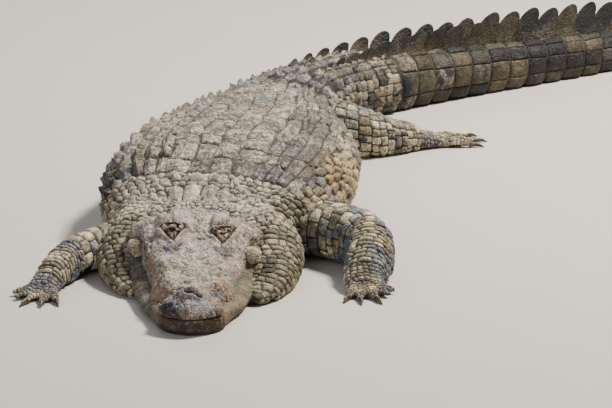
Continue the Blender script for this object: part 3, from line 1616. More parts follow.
        return dark, brown, blue, mud


# ------------------------------------------------------------------ skin

@dataclass
class SkinMaker:
    """The one skin of the whole body, inside the flesh by the depth of the coat."""

    name: str = "skin"
    voxel: float = 0.0072
    smoothing: int = 8
    ring_step: float = 0.0125
    limb_depth: float = 0.0045
    jowl_depth: float = 0.005
    digit_depth: float = 0.003
    head_depth: float = 0.012
    floor: float = 0.0006
    ceiling: float = 0.298

    def trunk_depth(self, station: Array) -> Array:
        """Depth of the coat along the trunk and tail."""
        return 0.0115 - 0.0035 * ease(station, 2.0, 2.8) - 0.0060 * ease(station, 3.2, 4.4)

    def trunk_points(self, station: Array, angle: Array) -> Array:
        """Sections of neck, trunk and tail inside the coat, with the crease behind the head.

        Args:
            station: distance from the snout.
            angle: direction round the section.

        Returns:
            The points.
        """
        place = station / MM
        depth = self.trunk_depth(station)
        widest = TRUNK.widest(place)
        crease = 0.018 * bump(station - 0.632, 0.014) + 0.006 * bump(station - 0.70, 0.012)
        half = np.maximum(TRUNK.half(place) - depth - crease, 0.004)
        top = np.maximum(TRUNK.top(place) - depth - crease, widest + 0.003)
        side, height = lying_ring(angle, half, -TRUNK.belly_sink * widest, widest, top, 0.0035)
        return SPINE.stand(station + 0 * angle, side, height)

    def surface(self, rows: int = 420, columns: int = 241) -> GridSurface:
        """The skin's surface along neck, trunk and tail.

        Args:
            rows: rows of points along it.
            columns: points across.

        Returns:
            The surface.
        """
        station = np.linspace(TRUNK.start, TRUNK.end, rows)
        points = self.trunk_points(station[:, None], sweep(columns)[None, :])
        return GridSurface(even_girth(points, columns), TRUNK.start, TRUNK.end)

    def build(self) -> bpy.types.Object:
        """Joins all lengths of flesh and melts them into one closed surface.

        Returns:
            The piece.
        """
        station = np.arange(TRUNK.start, TRUNK.end + 1e-6, self.ring_step)
        turn = np.arange(64) * TURN / 64
        stacks = [self.trunk_points(station[:, None], turn[None, :]), self._skull()]
        for form, depth, sides in self._lengths():
            along = np.linspace(form.start, form.end, 14 * (len(form.rows) - 1) + 1)
            stacks.append(form.rings(along, sides, depth))
        raw = add_object("flesh", tube_mesh("flesh", stacks))
        melt = raw.modifiers.new("melt", "REMESH")
        melt.mode = "VOXEL"
        melt.voxel_size = self.voxel
        melt.use_smooth_shade = True
        relax = raw.modifiers.new("relax", "SMOOTH")
        relax.factor = 0.5
        relax.iterations = self.smoothing
        mesh = settled(raw)
        mesh.name = self.name
        bpy.data.objects.remove(raw)
        self._dress(mesh)
        piece = add_object(self.name, mesh)
        LOG.info("%s: %d faces", self.name, len(mesh.polygons))
        return piece

    def _skull(self) -> Array:
        """Sections of the flesh inside the head: the crown sunk by the hide's depth, over a flat underside.

        Returns:
            The points.
        """
        s = np.linspace(0.012, 0.625, 70)
        crown = HEAD.upper_section(s[:, None], np.linspace(0, np.pi, 40)[None, :], self.head_depth)
        crown[..., 2] -= 0.008
        under = crown[:, ::-1].copy()
        under[..., 2] = np.minimum(under[..., 2], HEAD.lip(s / MM)[:, None]) - 0.012
        under[..., 2] = np.maximum(under[..., 2] * 0.4, 0.010)
        return np.concatenate([crown, under], axis=1)

    def _lengths(self) -> list[tuple[PathForm, float, int]]:
        """Lists jowls, limbs and digits.

        Returns:
            Each form with the depth of its coat and its number of sides.
        """
        found = [(jowl, self.jowl_depth, 40) for jowl in JOWLS]
        for limb in LIMBS:
            found.append((limb.form, self.limb_depth, 36))
            found.extend((digit, self.digit_depth, 20) for digit in limb.digits())
        return found

    def _dress(self, mesh: bpy.types.Mesh) -> None:
        """Keeps the skin above the floor, adds small wrinkles and stores its markings.

        Args:
            mesh: the skin's mesh.
        """
        points = vertex_data(mesh)
        wrinkle = (cloud(points, 0.02, 51, 2) - 0.5) * 0.0022
        points = points + vertex_data(mesh, "normal") * wrinkle[:, None]
        points[:, 2] = np.clip(points[:, 2], self.floor, self.ceiling)
        mesh.vertices.foreach_set("co", np.ascontiguousarray(points, np.float32).ravel())
        mesh.update()
        marks = MARKINGS.at(points, Region.TRUNK)
        tone = cloud(points, 0.015, 53)
        level = np.full(tone.shape, 0.5)
        paint(mesh, marks, np.stack([tone, 0.02 + 0.22 * marks[:, 3], level, level], axis=-1))


SKIN_FORM = SkinMaker()


# ------------------------------------------------------------------ layout of the coat

@dataclass
class TrunkCoat:
    """Scales of neck, trunk and tail."""

    surface: GridSurface
    scute_row: float = 0.070
    small_row: float = 0.042
    whorl: float = 0.08
    scutes_end: float = 1.95
    whorls_start: float = 2.60

    def coats(self) -> list[Coat]:
        """All pieces of the trunk's coat."""
        return [self._neck(), self._back(), self._flank(-1), self._flank(1), self._belly(), self._tail()]

    def _neck(self) -> Coat:
        """Pebbles of the neck and the nuchal plates.

        Returns:
            The piece's plan.
        """
        pebbles = ScaleLook(height=0.0030, samples=5, dome=0.0016, gap=0.0009, roundness=0.40, warp=0.42,
                            uneven=0.5)
        larger = ScaleLook(height=0.0038, samples=7, dome=0.0024, keel=0.0020, gap=0.0012, roundness=0.34,
                           warp=0.42, uneven=0.5, rough=0.0012)
        nuchal = ScaleLook(height=0.0058, samples=13, dome=0.0050, keel=0.0070, keel_width=0.16, gap=0.0010,
                           roundness=0.34, warp=0.34, rough=0.0044, grit=0.020, edge=6.0)
        plates = [(0.697, 0.760, 0.001, 0.078), (0.704, 0.752, 0.078, 0.150), (0.764, 0.808, 0.001, 0.062),
                  (0.770, 0.806, 0.100, 0.160)]
        cells = np.concatenate([ruled((front, rear), across) for front, rear, inner, outer in plates
                                for across in ((inner, outer), (-outer, -inner))])
        front = paved(self.surface, (0.612, 0.700), (-0.60, 0.60), 0.0150, 0.0165, seed=2)
        rear = paved(self.surface, (0.700, 0.812), (-0.62, 0.62), 0.022, 0.026, seed=4)
        along, beside = rear[..., 0].mean(axis=1), np.abs(rear[..., 1].mean(axis=1))
        covered = np.zeros(len(rear), bool)
        for start, end, inner, outer in plates:
            covered |= ((along > start + 0.008) & (along < end - 0.008)
                        & (beside > inner + 0.010) & (beside < outer - 0.010))
        return Coat("coat_neck", "neck_skin", [
            Patch(self.surface, front, pebbles, Region.NECK),
            Patch(self.surface, rear[~covered], larger, Region.NECK),
            Patch(self.surface, cells, nuchal, Region.NECK, tint=(0.0, 0.1, 0.1, 0.95)),
        ], seed=11)

    def _back(self) -> Coat:
        """Squarish keeled scutes of the back, smaller on the base of the tail.

        Returns:
            The piece's plan.
        """
        scutes = ScaleLook(height=0.0046, samples=13, dome=0.0020, keel=0.0062, keel_width=0.15, tilt=0.0022,
                           gap=0.0020, seam=0.0012, roundness=0.16, warp=0.22, rough=0.0044, grit=0.024,
                           uneven=0.40, jitter=0.07)
        outer = ScaleLook(height=0.0050, samples=13, dome=0.0026, keel=0.0105, keel_width=0.17, tilt=0.0020,
                          gap=0.0022, seam=0.0018, roundness=0.25, warp=0.24, rough=0.0036, grit=0.020,
                          uneven=0.40, jitter=0.07)
        small = ScaleLook(height=0.0050, samples=9, dome=0.0020, keel=0.0090, keel_width=0.20, gap=0.0018,
                          roundness=0.22, warp=0.18, rough=0.0020, uneven=0.40)
        columns = (-0.36, -0.27, -0.18, -0.09, 0.0, 0.09, 0.18, 0.27, 0.36)
        middle = (-0.168, -0.084, 0.0, 0.084, 0.168)
        right, left = (-0.365, -0.315, -0.266, -0.217, -0.168), (0.168, 0.217, 0.266, 0.315, 0.365)
        rows = np.arange(0.815, self.scutes_end + 0.03, self.scute_row)
        count = int(round((self.whorls_start - rows[-1]) / self.small_row))
        narrow = np.linspace(rows[-1], self.whorls_start, count + 1)
        return Coat("coat_back", "back_skin", [
            Patch(self.surface, ruled(rows, middle), scutes, Region.TRUNK),
            Patch(self.surface, np.concatenate([ruled(rows, right), ruled(rows, left)]), outer,
                  Region.TRUNK),
            Patch(self.surface, ruled(narrow, columns), small, Region.TRUNK),
        ], seed=21)

    def _flank(self, side: int) -> Coat:
        """Keeled rows high on one flank, and rows of ovals below them.

        Args:
            side: 1 for the left flank, -1 for the right one.

        Returns:
            The piece's plan.
        """
        keeled = ScaleLook(height=0.0048, samples=9, dome=0.0030, keel=0.0095 if side < 0 else 0.0030,
                           keel_width=0.26, gap=0.0014, roundness=0.36, warp=0.36, uneven=0.45, rough=0.0018)
        ovals = ScaleLook(height=0.0040, samples=7, dome=0.0022, keel=0.0008, tilt=0.0016, gap=0.0012,
                          roundness=0.32, warp=0.42, uneven=0.45, rough=0.0012)
        base = ScaleLook(height=0.0046, samples=9, dome=0.0018, keel=0.0050, gap=0.0014, roundness=0.25,
                         warp=0.20, uneven=0.45, rough=0.0016)

        def span(inner: float, outer: float) -> tuple[float, float]:
            """Range across the surface on this flank."""
            return (inner, outer) if side > 0 else (-outer, -inner)

        length, width = (0.044, 0.040) if side < 0 else (0.036, 0.030)
        high = paved(self.surface, (0.80, 1.98), span(0.350, 0.50), length, width, seed=5 + side)
        low = paved(self.surface, (0.78, 2.06), span(0.498, 0.78), 0.036, 0.0235, seed=8 + side)
        rear = paved(self.surface, (1.985, self.whorls_start), span(0.352, 0.76), 0.036, 0.034,
                     stagger=0.0, seed=3 + side)
        return Coat(f"coat_flank_{side_name(side)}", "back_skin", [
            Patch(self.surface, high, keeled, Region.TRUNK),
            Patch(self.surface, low, ovals, Region.TRUNK),
            Patch(self.surface, rear, base, Region.TRUNK),
        ], seed=31 + side)

    def _belly(self) -> Coat:
        """Smooth rectangles of the underside, as far as they show beside the floor.

        Returns:
            The piece's plan.
        """
        look = ScaleLook(height=0.0022, samples=7, dome=0.0008, gap=0.0022, roundness=0.2, warp=0.06)
        cells = [paved(self.surface, (0.80, self.whorls_start), across, 0.040, 0.045, stagger=0.0, seed=6)
                 for across in ((0.782, 1.0), (-1.0, -0.782))]
        return Coat("coat_belly", "back_skin", [
            Patch(self.surface, np.concatenate(cells), look, Region.TRUNK),
        ], seed=41)

    def _tail(self) -> Coat:
        """Whorls of tall plates round the tail.

        Returns:
            The piece's plan.
        """
        look = ScaleLook(height=0.0036, samples=11, dome=0.0034, keel=0.0010, keel_width=0.3, tilt=0.0030,
                         gap=0.0002, seam=0.0028, roundness=0.10, warp=0.07, rough=0.0026, grit=0.020,
                         uneven=0.20, side_edge=4.0)
        fine = ScaleLook(height=0.0030, samples=7, dome=0.0008, gap=0.0025, roundness=0.3)
        rows = np.arange(self.whorls_start, 4.441, self.whorl)
        right = (-1.0, -0.82, -0.60, -0.36, -0.17, -0.03)
        cells = np.concatenate([ruled(rows, right), ruled(rows, tuple(-f for f in right[::-1]))])
        cells[..., 0] = np.minimum(cells[..., 0] + 0.022 * (1 - np.abs(cells[..., 1])), 4.445)
        return Coat("coat_tail", "tail_skin", [
            Patch(self.surface, cells, look, Region.TAIL),
            Patch(self.surface, ruled(rows, (-0.03, 0.03)), fine, Region.TAIL),
        ], seed=51)


@dataclass
class LimbCoat:
    """Scales of one leg and its digits."""

    limb: Limb
    depth: float = 0.0045
    digit_depth: float = 0.003

    def coat(self) -> Coat:
        """Large plates above, narrow bands or squares lower, small scales on the foot.

        Returns:
            The piece's plan.
        """
        surface = self.limb.form.surface(260, 121, self.depth)
        fore = self.limb.kind is FootKind.FORE
        last = float(len(self.limb.rows) - 1)
        plates = ScaleLook(height=0.0040, samples=9, dome=0.0012, tilt=0.0014, gap=0.0016, roundness=0.22,
                           warp=0.26, uneven=0.25, rough=0.0012)
        bands = ScaleLook(height=0.0030, samples=7, dome=0.0008, tilt=0.0036, gap=0.0012, roundness=0.22,
                          warp=0.26, uneven=0.30, rough=0.0006)
        small = ScaleLook(height=0.0024, samples=5, dome=0.0012, gap=0.0009, roundness=0.4, warp=0.32,
                          uneven=0.3)
        seed = len(self.limb.name) + 3 * self.limb.side
        if fore:
            layout = ((0.2, 2.9, 0.038, 0.041, plates), (2.9, 5.6, 0.0165, 0.038, bands),
                      (5.6, last, 0.014, 0.017, small))
        else:
            layout = ((0.2, 2.2, 0.030, 0.032, plates), (2.2, 4.2, 0.021, 0.026, bands),
                      (4.2, last, 0.014, 0.017, small))
        patches = []
        for number, (start, end, length, width, look) in enumerate(layout):
            cells = paved(surface, (start, end), (-0.82, 0.82), length, width, seed=seed + number)
            region = Region.HAND if look is small else Region.ARM if fore else Region.LEG
            patches.append(Patch(surface, cells, look, region))
        digit_look = ScaleLook(height=0.0022, samples=7, dome=0.0010, tilt=0.0018, gap=0.0014, roundness=0.3,
                               warp=0.08)
        for number, form in enumerate(self.limb.digits()):
            top = form.surface(60, 61, self.digit_depth)
            cells = paved(top, (0.3, 1.97), (-0.66, 0.66), 0.0115, 0.020, stagger=0.0, seed=number)
            patches.append(Patch(top, cells, digit_look, Region.HAND))
        return Coat(f"coat_{self.limb.name}", "limb_skin", patches, seed=61 + seed)


@dataclass
class JowlCoat:
    """Rounded pebbles of the throat bulges."""

    depth: float = 0.005

    def coat(self) -> Coat:
        """Pebbles in staggered rows on both bulges.

        Returns:
            The piece's plan.
        """
        look = ScaleLook(height=0.0038, samples=7, dome=0.0012, gap=0.0018, roundness=0.28, warp=0.42,
                         uneven=0.28, rough=0.0008)
        patches = []
        for number, form in enumerate(JOWLS):
            surface = form.surface(160, 121, self.depth)
            cells = paved(surface, (0.02, 3.96), (-0.80, 0.80), 0.0205, 0.0285, seed=number + 1)
            patches.append(Patch(surface, cells, look, Region.NECK))
        return Coat("coat_jowls", "neck_skin", patches, seed=71)


class SkullPlane(GridSurface):
    """The skull's crown, found from the distance behind the snout and the distance from the middle line."""

    def __init__(self) -> None:
        """Covers the length of the head."""
        self.start = 0.0
        self.end = HEAD.length

    def at(self, along: Array, across: Array) -> Array:
        """Point of the crown.

        Args:
            along: distance behind the snout.
            across: distance to the left of the middle line.

        Returns:
            The points.
        """
        return HEAD.skull_point(*HEAD.unturned(along, across, np.sign(across)))


@dataclass
class Crest:
    """Upright scales on the tail: two rows that meet in one.

    Their measures are in metres, and the rows of heights in millimetres.
    """

    name: str = "tail_crest"
    whorl: float = 0.08
    start: float = 2.20
    merge: float = 3.00
    root: float = 0.014
    sunk: float = 0.0035
    chord: float = 0.094
    thickness: float = 0.017
    ceiling: float = 0.2992
    brown: tuple = (0.62, 0.45, 0.1, 0.0)
    row_side: float = 0.40
    row_drop: float = 0.10
    heights: tuple = ((2200, 12), (2450, 34), (2700, 66), (2990, 88), (3020, 104), (3400, 108), (4100, 72),
                      (4450, 24))
    levels: int = 19
    sides: int = 20

    def build(self) -> bpy.types.Object:
        """Makes every crest scale as a closed blade.

        Below, a blade is a wall that touches its neighbours, up to 0.34 of the height, or 0.10 in the two
        rows. Above it, at a share a of the remaining height, the front edge of a blade of chord c lies at
        0.66 c (1 - (1 - a^2)^0.5). The rear edge lies near 0.99 c and is drawn in over the last third, at a
        share r of it, by 0.38 c (1 - (1 - r^2)^0.5) to a rounded tip. Across, the blade is a pointed oval,
        flared at the root and thin towards the tip.

        Returns:
            The piece.
        """
        rng = np.random.default_rng(5)
        spots = [(s, side) for s in np.arange(self.start + self.whorl / 2, 4.44, self.whorl)
                 for side in ((-1, 1) if s < self.merge else (0,))]
        s, side = (np.array(values)[:, None, None] for values in zip(*spots))
        height = curve_through(self.heights, 1, MM)(s / MM) * rng.uniform(0.92, 1.0, s.shape) + self.root
        t = np.sin(np.linspace(0, 0.25 * TURN, self.levels))[None, :, None]
        turn = (np.arange(self.sides) * TURN / self.sides)[None, None, :]
        front, rear = self._edges(t, side)
        along = ((front + rear) / 2 + (rear - front) / 2 * np.cos(turn) - 0.5)
        along = along * (self.chord * np.clip(height / 0.045, 0.62, 1.0))
        along = along + (0.10 * height * t + 0.12 * height * t * t) * np.ones_like(along)
        thick = self.thickness * (1 - 0.78 * t + 1.5 * np.exp(-t / 0.13)) * np.clip(height / 0.06, 0.5, 1.0)
        ribs = 0.0005 * np.sin(along * TURN / 0.0085 + 3 * rng.uniform(0, 1, s.shape)) * np.sin(turn)
        wide = 0.5 * thick * np.sign(np.sin(turn)) * np.abs(np.sin(turn)) ** 0.85 + ribs
        wide = wide + side * 0.16 * (height * t) + rng.normal(0, 0.03, s.shape) * height * t * t
        points = self._stand(s, side, along, wide, height * t)
        mesh = tube_mesh(self.name, points)

        flat = np.zeros(points.shape[:-1])
        share = ease(s, 3.10, 2.85)[..., None]
        mark = MARKINGS.at(points[:, :1, :1], Region.TAIL) * (1 - share) + np.array(self.brown) * share
        mark = mark + flat[..., None]
        mark[..., 0] *= 0.50 + 0.60 * ease(t, 0.25, 0.75)
        tone = rng.uniform(0, 1, s.shape) + flat
        edge = ease(t, 0.0, 0.16) * (1 - 0.5 * ease(t, 0.9, 1.0)) + flat
        paint(mesh, mark, np.stack([tone, edge, 0.5 + 0.5 * np.cos(turn) + flat, t + flat], axis=-1))
        u = 0.5 + 0.2 * side + 0.0015 * np.cos(turn) + 0 * t
        v = 0.02 + 0.96 * (s - self.start) / 2.25 + 0.0015 * (2 * t - 1) + 0 * turn
        unwrap(mesh, np.stack([u, v], axis=-1))
        LOG.info("%s: %d blades", self.name, len(points))
        return add_object(self.name, mesh)

    def _edges(self, t: Array, side: Array) -> tuple[Array, Array]:
        """Front and rear edge of the blades over their chord.

        Args:
            t: share of the height.
            side: -1 or 1 in the two rows, 0 in the single one.

        Returns:
            Places of both edges, from 0 to 1.
        """
        almost = 0.998
        wall = np.where(side == 0, 0.34, 0.10)
        above = np.clip((t - wall) / (1 - wall), 0, almost)
        front = 0.66 * (1 - (1 - above ** 2.0) ** 0.5) + 0 * t
        rounding = np.clip((t - 0.66) / 0.34, 0, 0.999)
        rear = 0.99 + 0.03 * t - 0.04 * np.sin(np.pi * t) - 0.38 * (1 - np.sqrt(1 - rounding ** 2))
        return front, rear

    def _stand(self, s: Array, side: Array, along: Array, wide: Array, rise: Array) -> Array:
        """Stands the blades on the tail.

        Args:
            s: distance of each blade from the snout.
            side: -1 or 1 in the two rows, 0 in the single one.
            along: distance to the rear of the blade's middle.
            wide: distance to the left of the blade's foot.
            rise: height over the root.

        Returns:
            The points.
        """
        place = s / MM
        top = TRUNK.top(place)
        drop = np.abs(side) * (top - TRUNK.widest(place)) * self.row_drop * ease(s, 3.2, 2.3)
        close = self.row_side * (1 - 0.62 * ease(s, 2.4, 2.98))
        away = side * TRUNK.half(place) * close + wide
        up = top - self.sunk - drop - self.root + rise
        heading = SPINE.heading_curve(place)
        foot = SPINE.stand(s + 0 * away, 0 * away, 0 * away)
        x = foot[..., 0] + away * np.cos(heading) + along * np.sin(heading)
        y = foot[..., 1] - away * np.sin(heading) + along * np.cos(heading)
        return np.stack([x, y, np.minimum(up + 0 * x, self.ceiling)], axis=-1)


# ------------------------------------------------------------------ small parts

@dataclass
class ClawMaker:
    """Claws of the three inner digits of a leg: curved horn, flattened below."""

    limb: Limb
    rings: int = 22
    sides: int = 18
    arch: float = 0.0035

    def build(self) -> list[tuple[bpy.types.Object, str]]:
        """Makes the claws.

        Returns:
            Each piece with the name of the CAD node that it stands for.
        """
        made = []
        for number in range(3):
            form = PathForm(self.limb.digit_rows(number)[1], widest_share=0.40)
            along = np.linspace(form.start, form.end, self.rings)
            points = form.rings(along, self.sides, 0.0004)
            share = (along / form.end)[:, None]
            points[..., 2] += self.arch * np.sin(np.pi * share ** 0.8)
            points[..., 2] += 0.0002 * np.sin(share * 70)
            node = f"{self.limb.name}_claw_{number + 1}"
            made.append((add_object(f"horn_{node}", tube_mesh(f"horn_{node}", [points])), node))
        return made


@dataclass
class Lid:
    """A shut eye: a wrinkled lower lid, a triangle with its straight edge above, over the eyeball."""

    side: int
    top: float = 0.4670
    depth: float = 0.041
    centre: float = 0.068
    half: float = 0.037
    power: float = 1.25
    samples: int = 61

    def build(self) -> bpy.types.Object:
        """Makes the lid on the front slope of the brow.

        A grid of p across and q down is narrowed to 1 - q^1.25, laid on the crown and raised by a low dome
        with folds that follow the triangle's sides.

        Returns:
            The piece.
        """
        count = self.samples
        q, p = np.meshgrid(np.linspace(0, 1, count), np.linspace(-1, 1, count), indexing="ij")
        width = self.half * np.maximum(1 - q ** self.power, 0.05)
        s, side = HEAD.unturned(self.top - self.depth * q,
                                self.side * (self.centre - 0.004 * q) + p * width, self.side)
        base = HEAD.skull_point(s, side)
        normal = outward(base)
        normal = normal * np.sign(normal[..., 2:3] + TINY)
        bend = cloud(base, 0.012, 61, 2)
        waves = 3.6 * q * (1 - 0.35 * np.abs(p)) + 0.9 * p * self.side * (1 - q) + 1.8 * bend
        folds = np.sin(TURN * waves)
        edge, tone = cracks(side + 0.012 * bend, s * 1.3 - 0.010 * bend, 0.0105, 67)
        split = bump(edge, 0.14)
        inner = (1 - p ** 4) * np.sqrt(np.clip(1 - (2 * q - 1) ** 4, 0, 1))
        rise = inner * (0.0020 + 0.0060 * np.sin(np.pi * np.sqrt(q)) + 0.0026 * folds - 0.0024 * split)
        rise = rise + 0.0026 * bump(q - 0.07, 0.030) * (1 - p ** 6)
        rise = rise - 0.0034 * bump(q - 0.15, 0.022) * (1 - p ** 6)
        rim = (np.abs(p) == 1) | (q == 0) | (q == 1)
        rise = np.where(rim, -0.004, rise + (cloud(base, 0.006, 63, 2) - 0.5) * 0.0008)
        points = base + normal * rise[..., None]
        index = np.arange(count * count).reshape(count, count)
        border = np.concatenate([index[0, :-1], index[:-1, -1], index[-1, :0:-1], index[:0:-1, 0]])
        name = f"lid_{side_name(self.side)}"
        mesh = make_mesh(name, points.reshape(-1, 3), [grid_faces(count, count), border[None, :]])
        slit = bump(q - 0.15, 0.03)
        cavity = np.clip(0.50 + 0.50 * folds - 0.55 * split - 0.8 * slit, 0, 1) * (1 - rim)
        mark = np.stack([0.10 + 0.4 * bend, 0.25 + 0 * p, 0 * p, 0.9 * ease(folds, 0.35, 0.9)], axis=-1)
        paint(mesh, mark, np.stack([tone, cavity, p * 0 + 0.5, q], axis=-1))
        return add_object(name, mesh)


@dataclass
class MouthCorner:
    """The soft pale lump at the corner of the mouth."""

    side: int
    station: float
    away: float
    height: float
    radii: tuple
    rings: int = 60
    sides: int = 84

    def centre(self) -> Array:
        """Middle of the lump."""
        return HEAD.place(np.array(self.station), np.array(self.side * self.away), np.array(self.height))

    def build(self) -> bpy.types.Object:
        """Makes the lump: an egg with small pebbles pressed into it.

        Returns:
            The piece.
        """
        rise = np.linspace(0.03, np.pi - 0.03, self.rings)[:, None]
        turn = (np.arange(self.sides) * TURN / self.sides)[None, :]
        egg = np.stack([np.sin(rise) * np.cos(turn), np.sin(rise) * np.sin(turn),
                        -np.cos(rise) + 0 * turn], axis=-1)
        edge, tone = cracks(turn / 6.283 * 0.15 + 0 * rise, rise / 3.1416 * 0.075 + 0 * turn, 0.0085, 71)
        groove = bump(edge, 0.16) * np.sin(rise) ** 0.5
        swell = 1 - 0.08 * groove + 0.05 * (tone - 0.5) + 0.55 * (cloud(egg, 1.1, 73, 2) - 0.5)
        wedge = np.stack([1 + 0.24 * egg[..., 2], 1 + 0 * tone, 1 - 0.10 * egg[..., 0] * self.side], axis=-1)
        points = egg * np.array(self.radii) * swell[..., None] * wedge + self.centre()
        name = f"mouth_corner_{side_name(self.side)}"
        mesh = tube_mesh(name, [points], True)
        none = 0 * tone
        paint(mesh, np.stack([none, none + 0.25, none, none + 0.45], axis=-1),
              np.stack([tone, 1 - groove, none + 0.5, none + 0.5], axis=-1))
        return add_object(name, mesh)


CORNERS = (MouthCorner(1, 0.455, 0.157, 0.093, (0.026, 0.031, 0.023)),
           MouthCorner(-1, 0.480, 0.156, 0.105, (0.026, 0.026, 0.026)))


@dataclass
class Teeth:
    """Teeth that show along the lips: the upper ones outside the lower lip, and the lower fangs."""

    name: str
    stations: tuple
    direction: int
    length: float = 0.0125
    radius: float = 0.0042
    rings: int = 10
    sides: int = 14

    def build(self) -> bpy.types.Object:
        """Makes the teeth as slightly curved cones.

        Returns:
            The piece.
        """
        rng = np.random.default_rng(9)
        s = np.repeat(np.array(self.stations), 2)[:, None, None] * MM
        side = np.tile(np.array([-1.0, 1.0]), len(self.stations))[:, None, None]
        t = np.linspace(0, 1, self.rings)[None, :, None]
        turn = (np.arange(self.sides) * TURN / self.sides)[None, None, :]
        size = rng.uniform(0.8, 1.1, s.shape)
        thick = self.radius * size * np.sqrt(np.maximum(1 - t ** 1.6, 0.004))
        away = side * (HEAD.half(s / MM) * HEAD.tip(s) - 0.001 + 0.006 * t * t) + thick * np.cos(turn)
        along = s + thick * np.sin(turn)
        z = HEAD.lip(s / MM) - self.direction * 0.007 + self.direction * self.length * size * t
        points = HEAD.place(along, away, z + 0 * away, False)
        return add_object(self.name, tube_mesh(self.name, points, self.direction > 0))


# ------------------------------------------------------------------ finishes

def tint(red: float, green: float, blue: float) -> tuple[float, float, float, float]:
    """Turns a display colour into the renderer's linear colour.

    Each channel c, from 0 to 1, becomes ((c + 0.055) / 1.055)^2.4, or c / 12.92 if it is very dark.

    Args:
        red: red, from 0 to 255.
        green: green, likewise.
        blue: blue, likewise.

    Returns:
        The linear colour, with an opacity of 1.
    """
    linear = [c / 255 / 12.92 if c <= 10 else ((c / 255 + 0.055) / 1.055) ** 2.4 for c in (red, green, blue)]
    return (linear[0], linear[1], linear[2], 1.0)


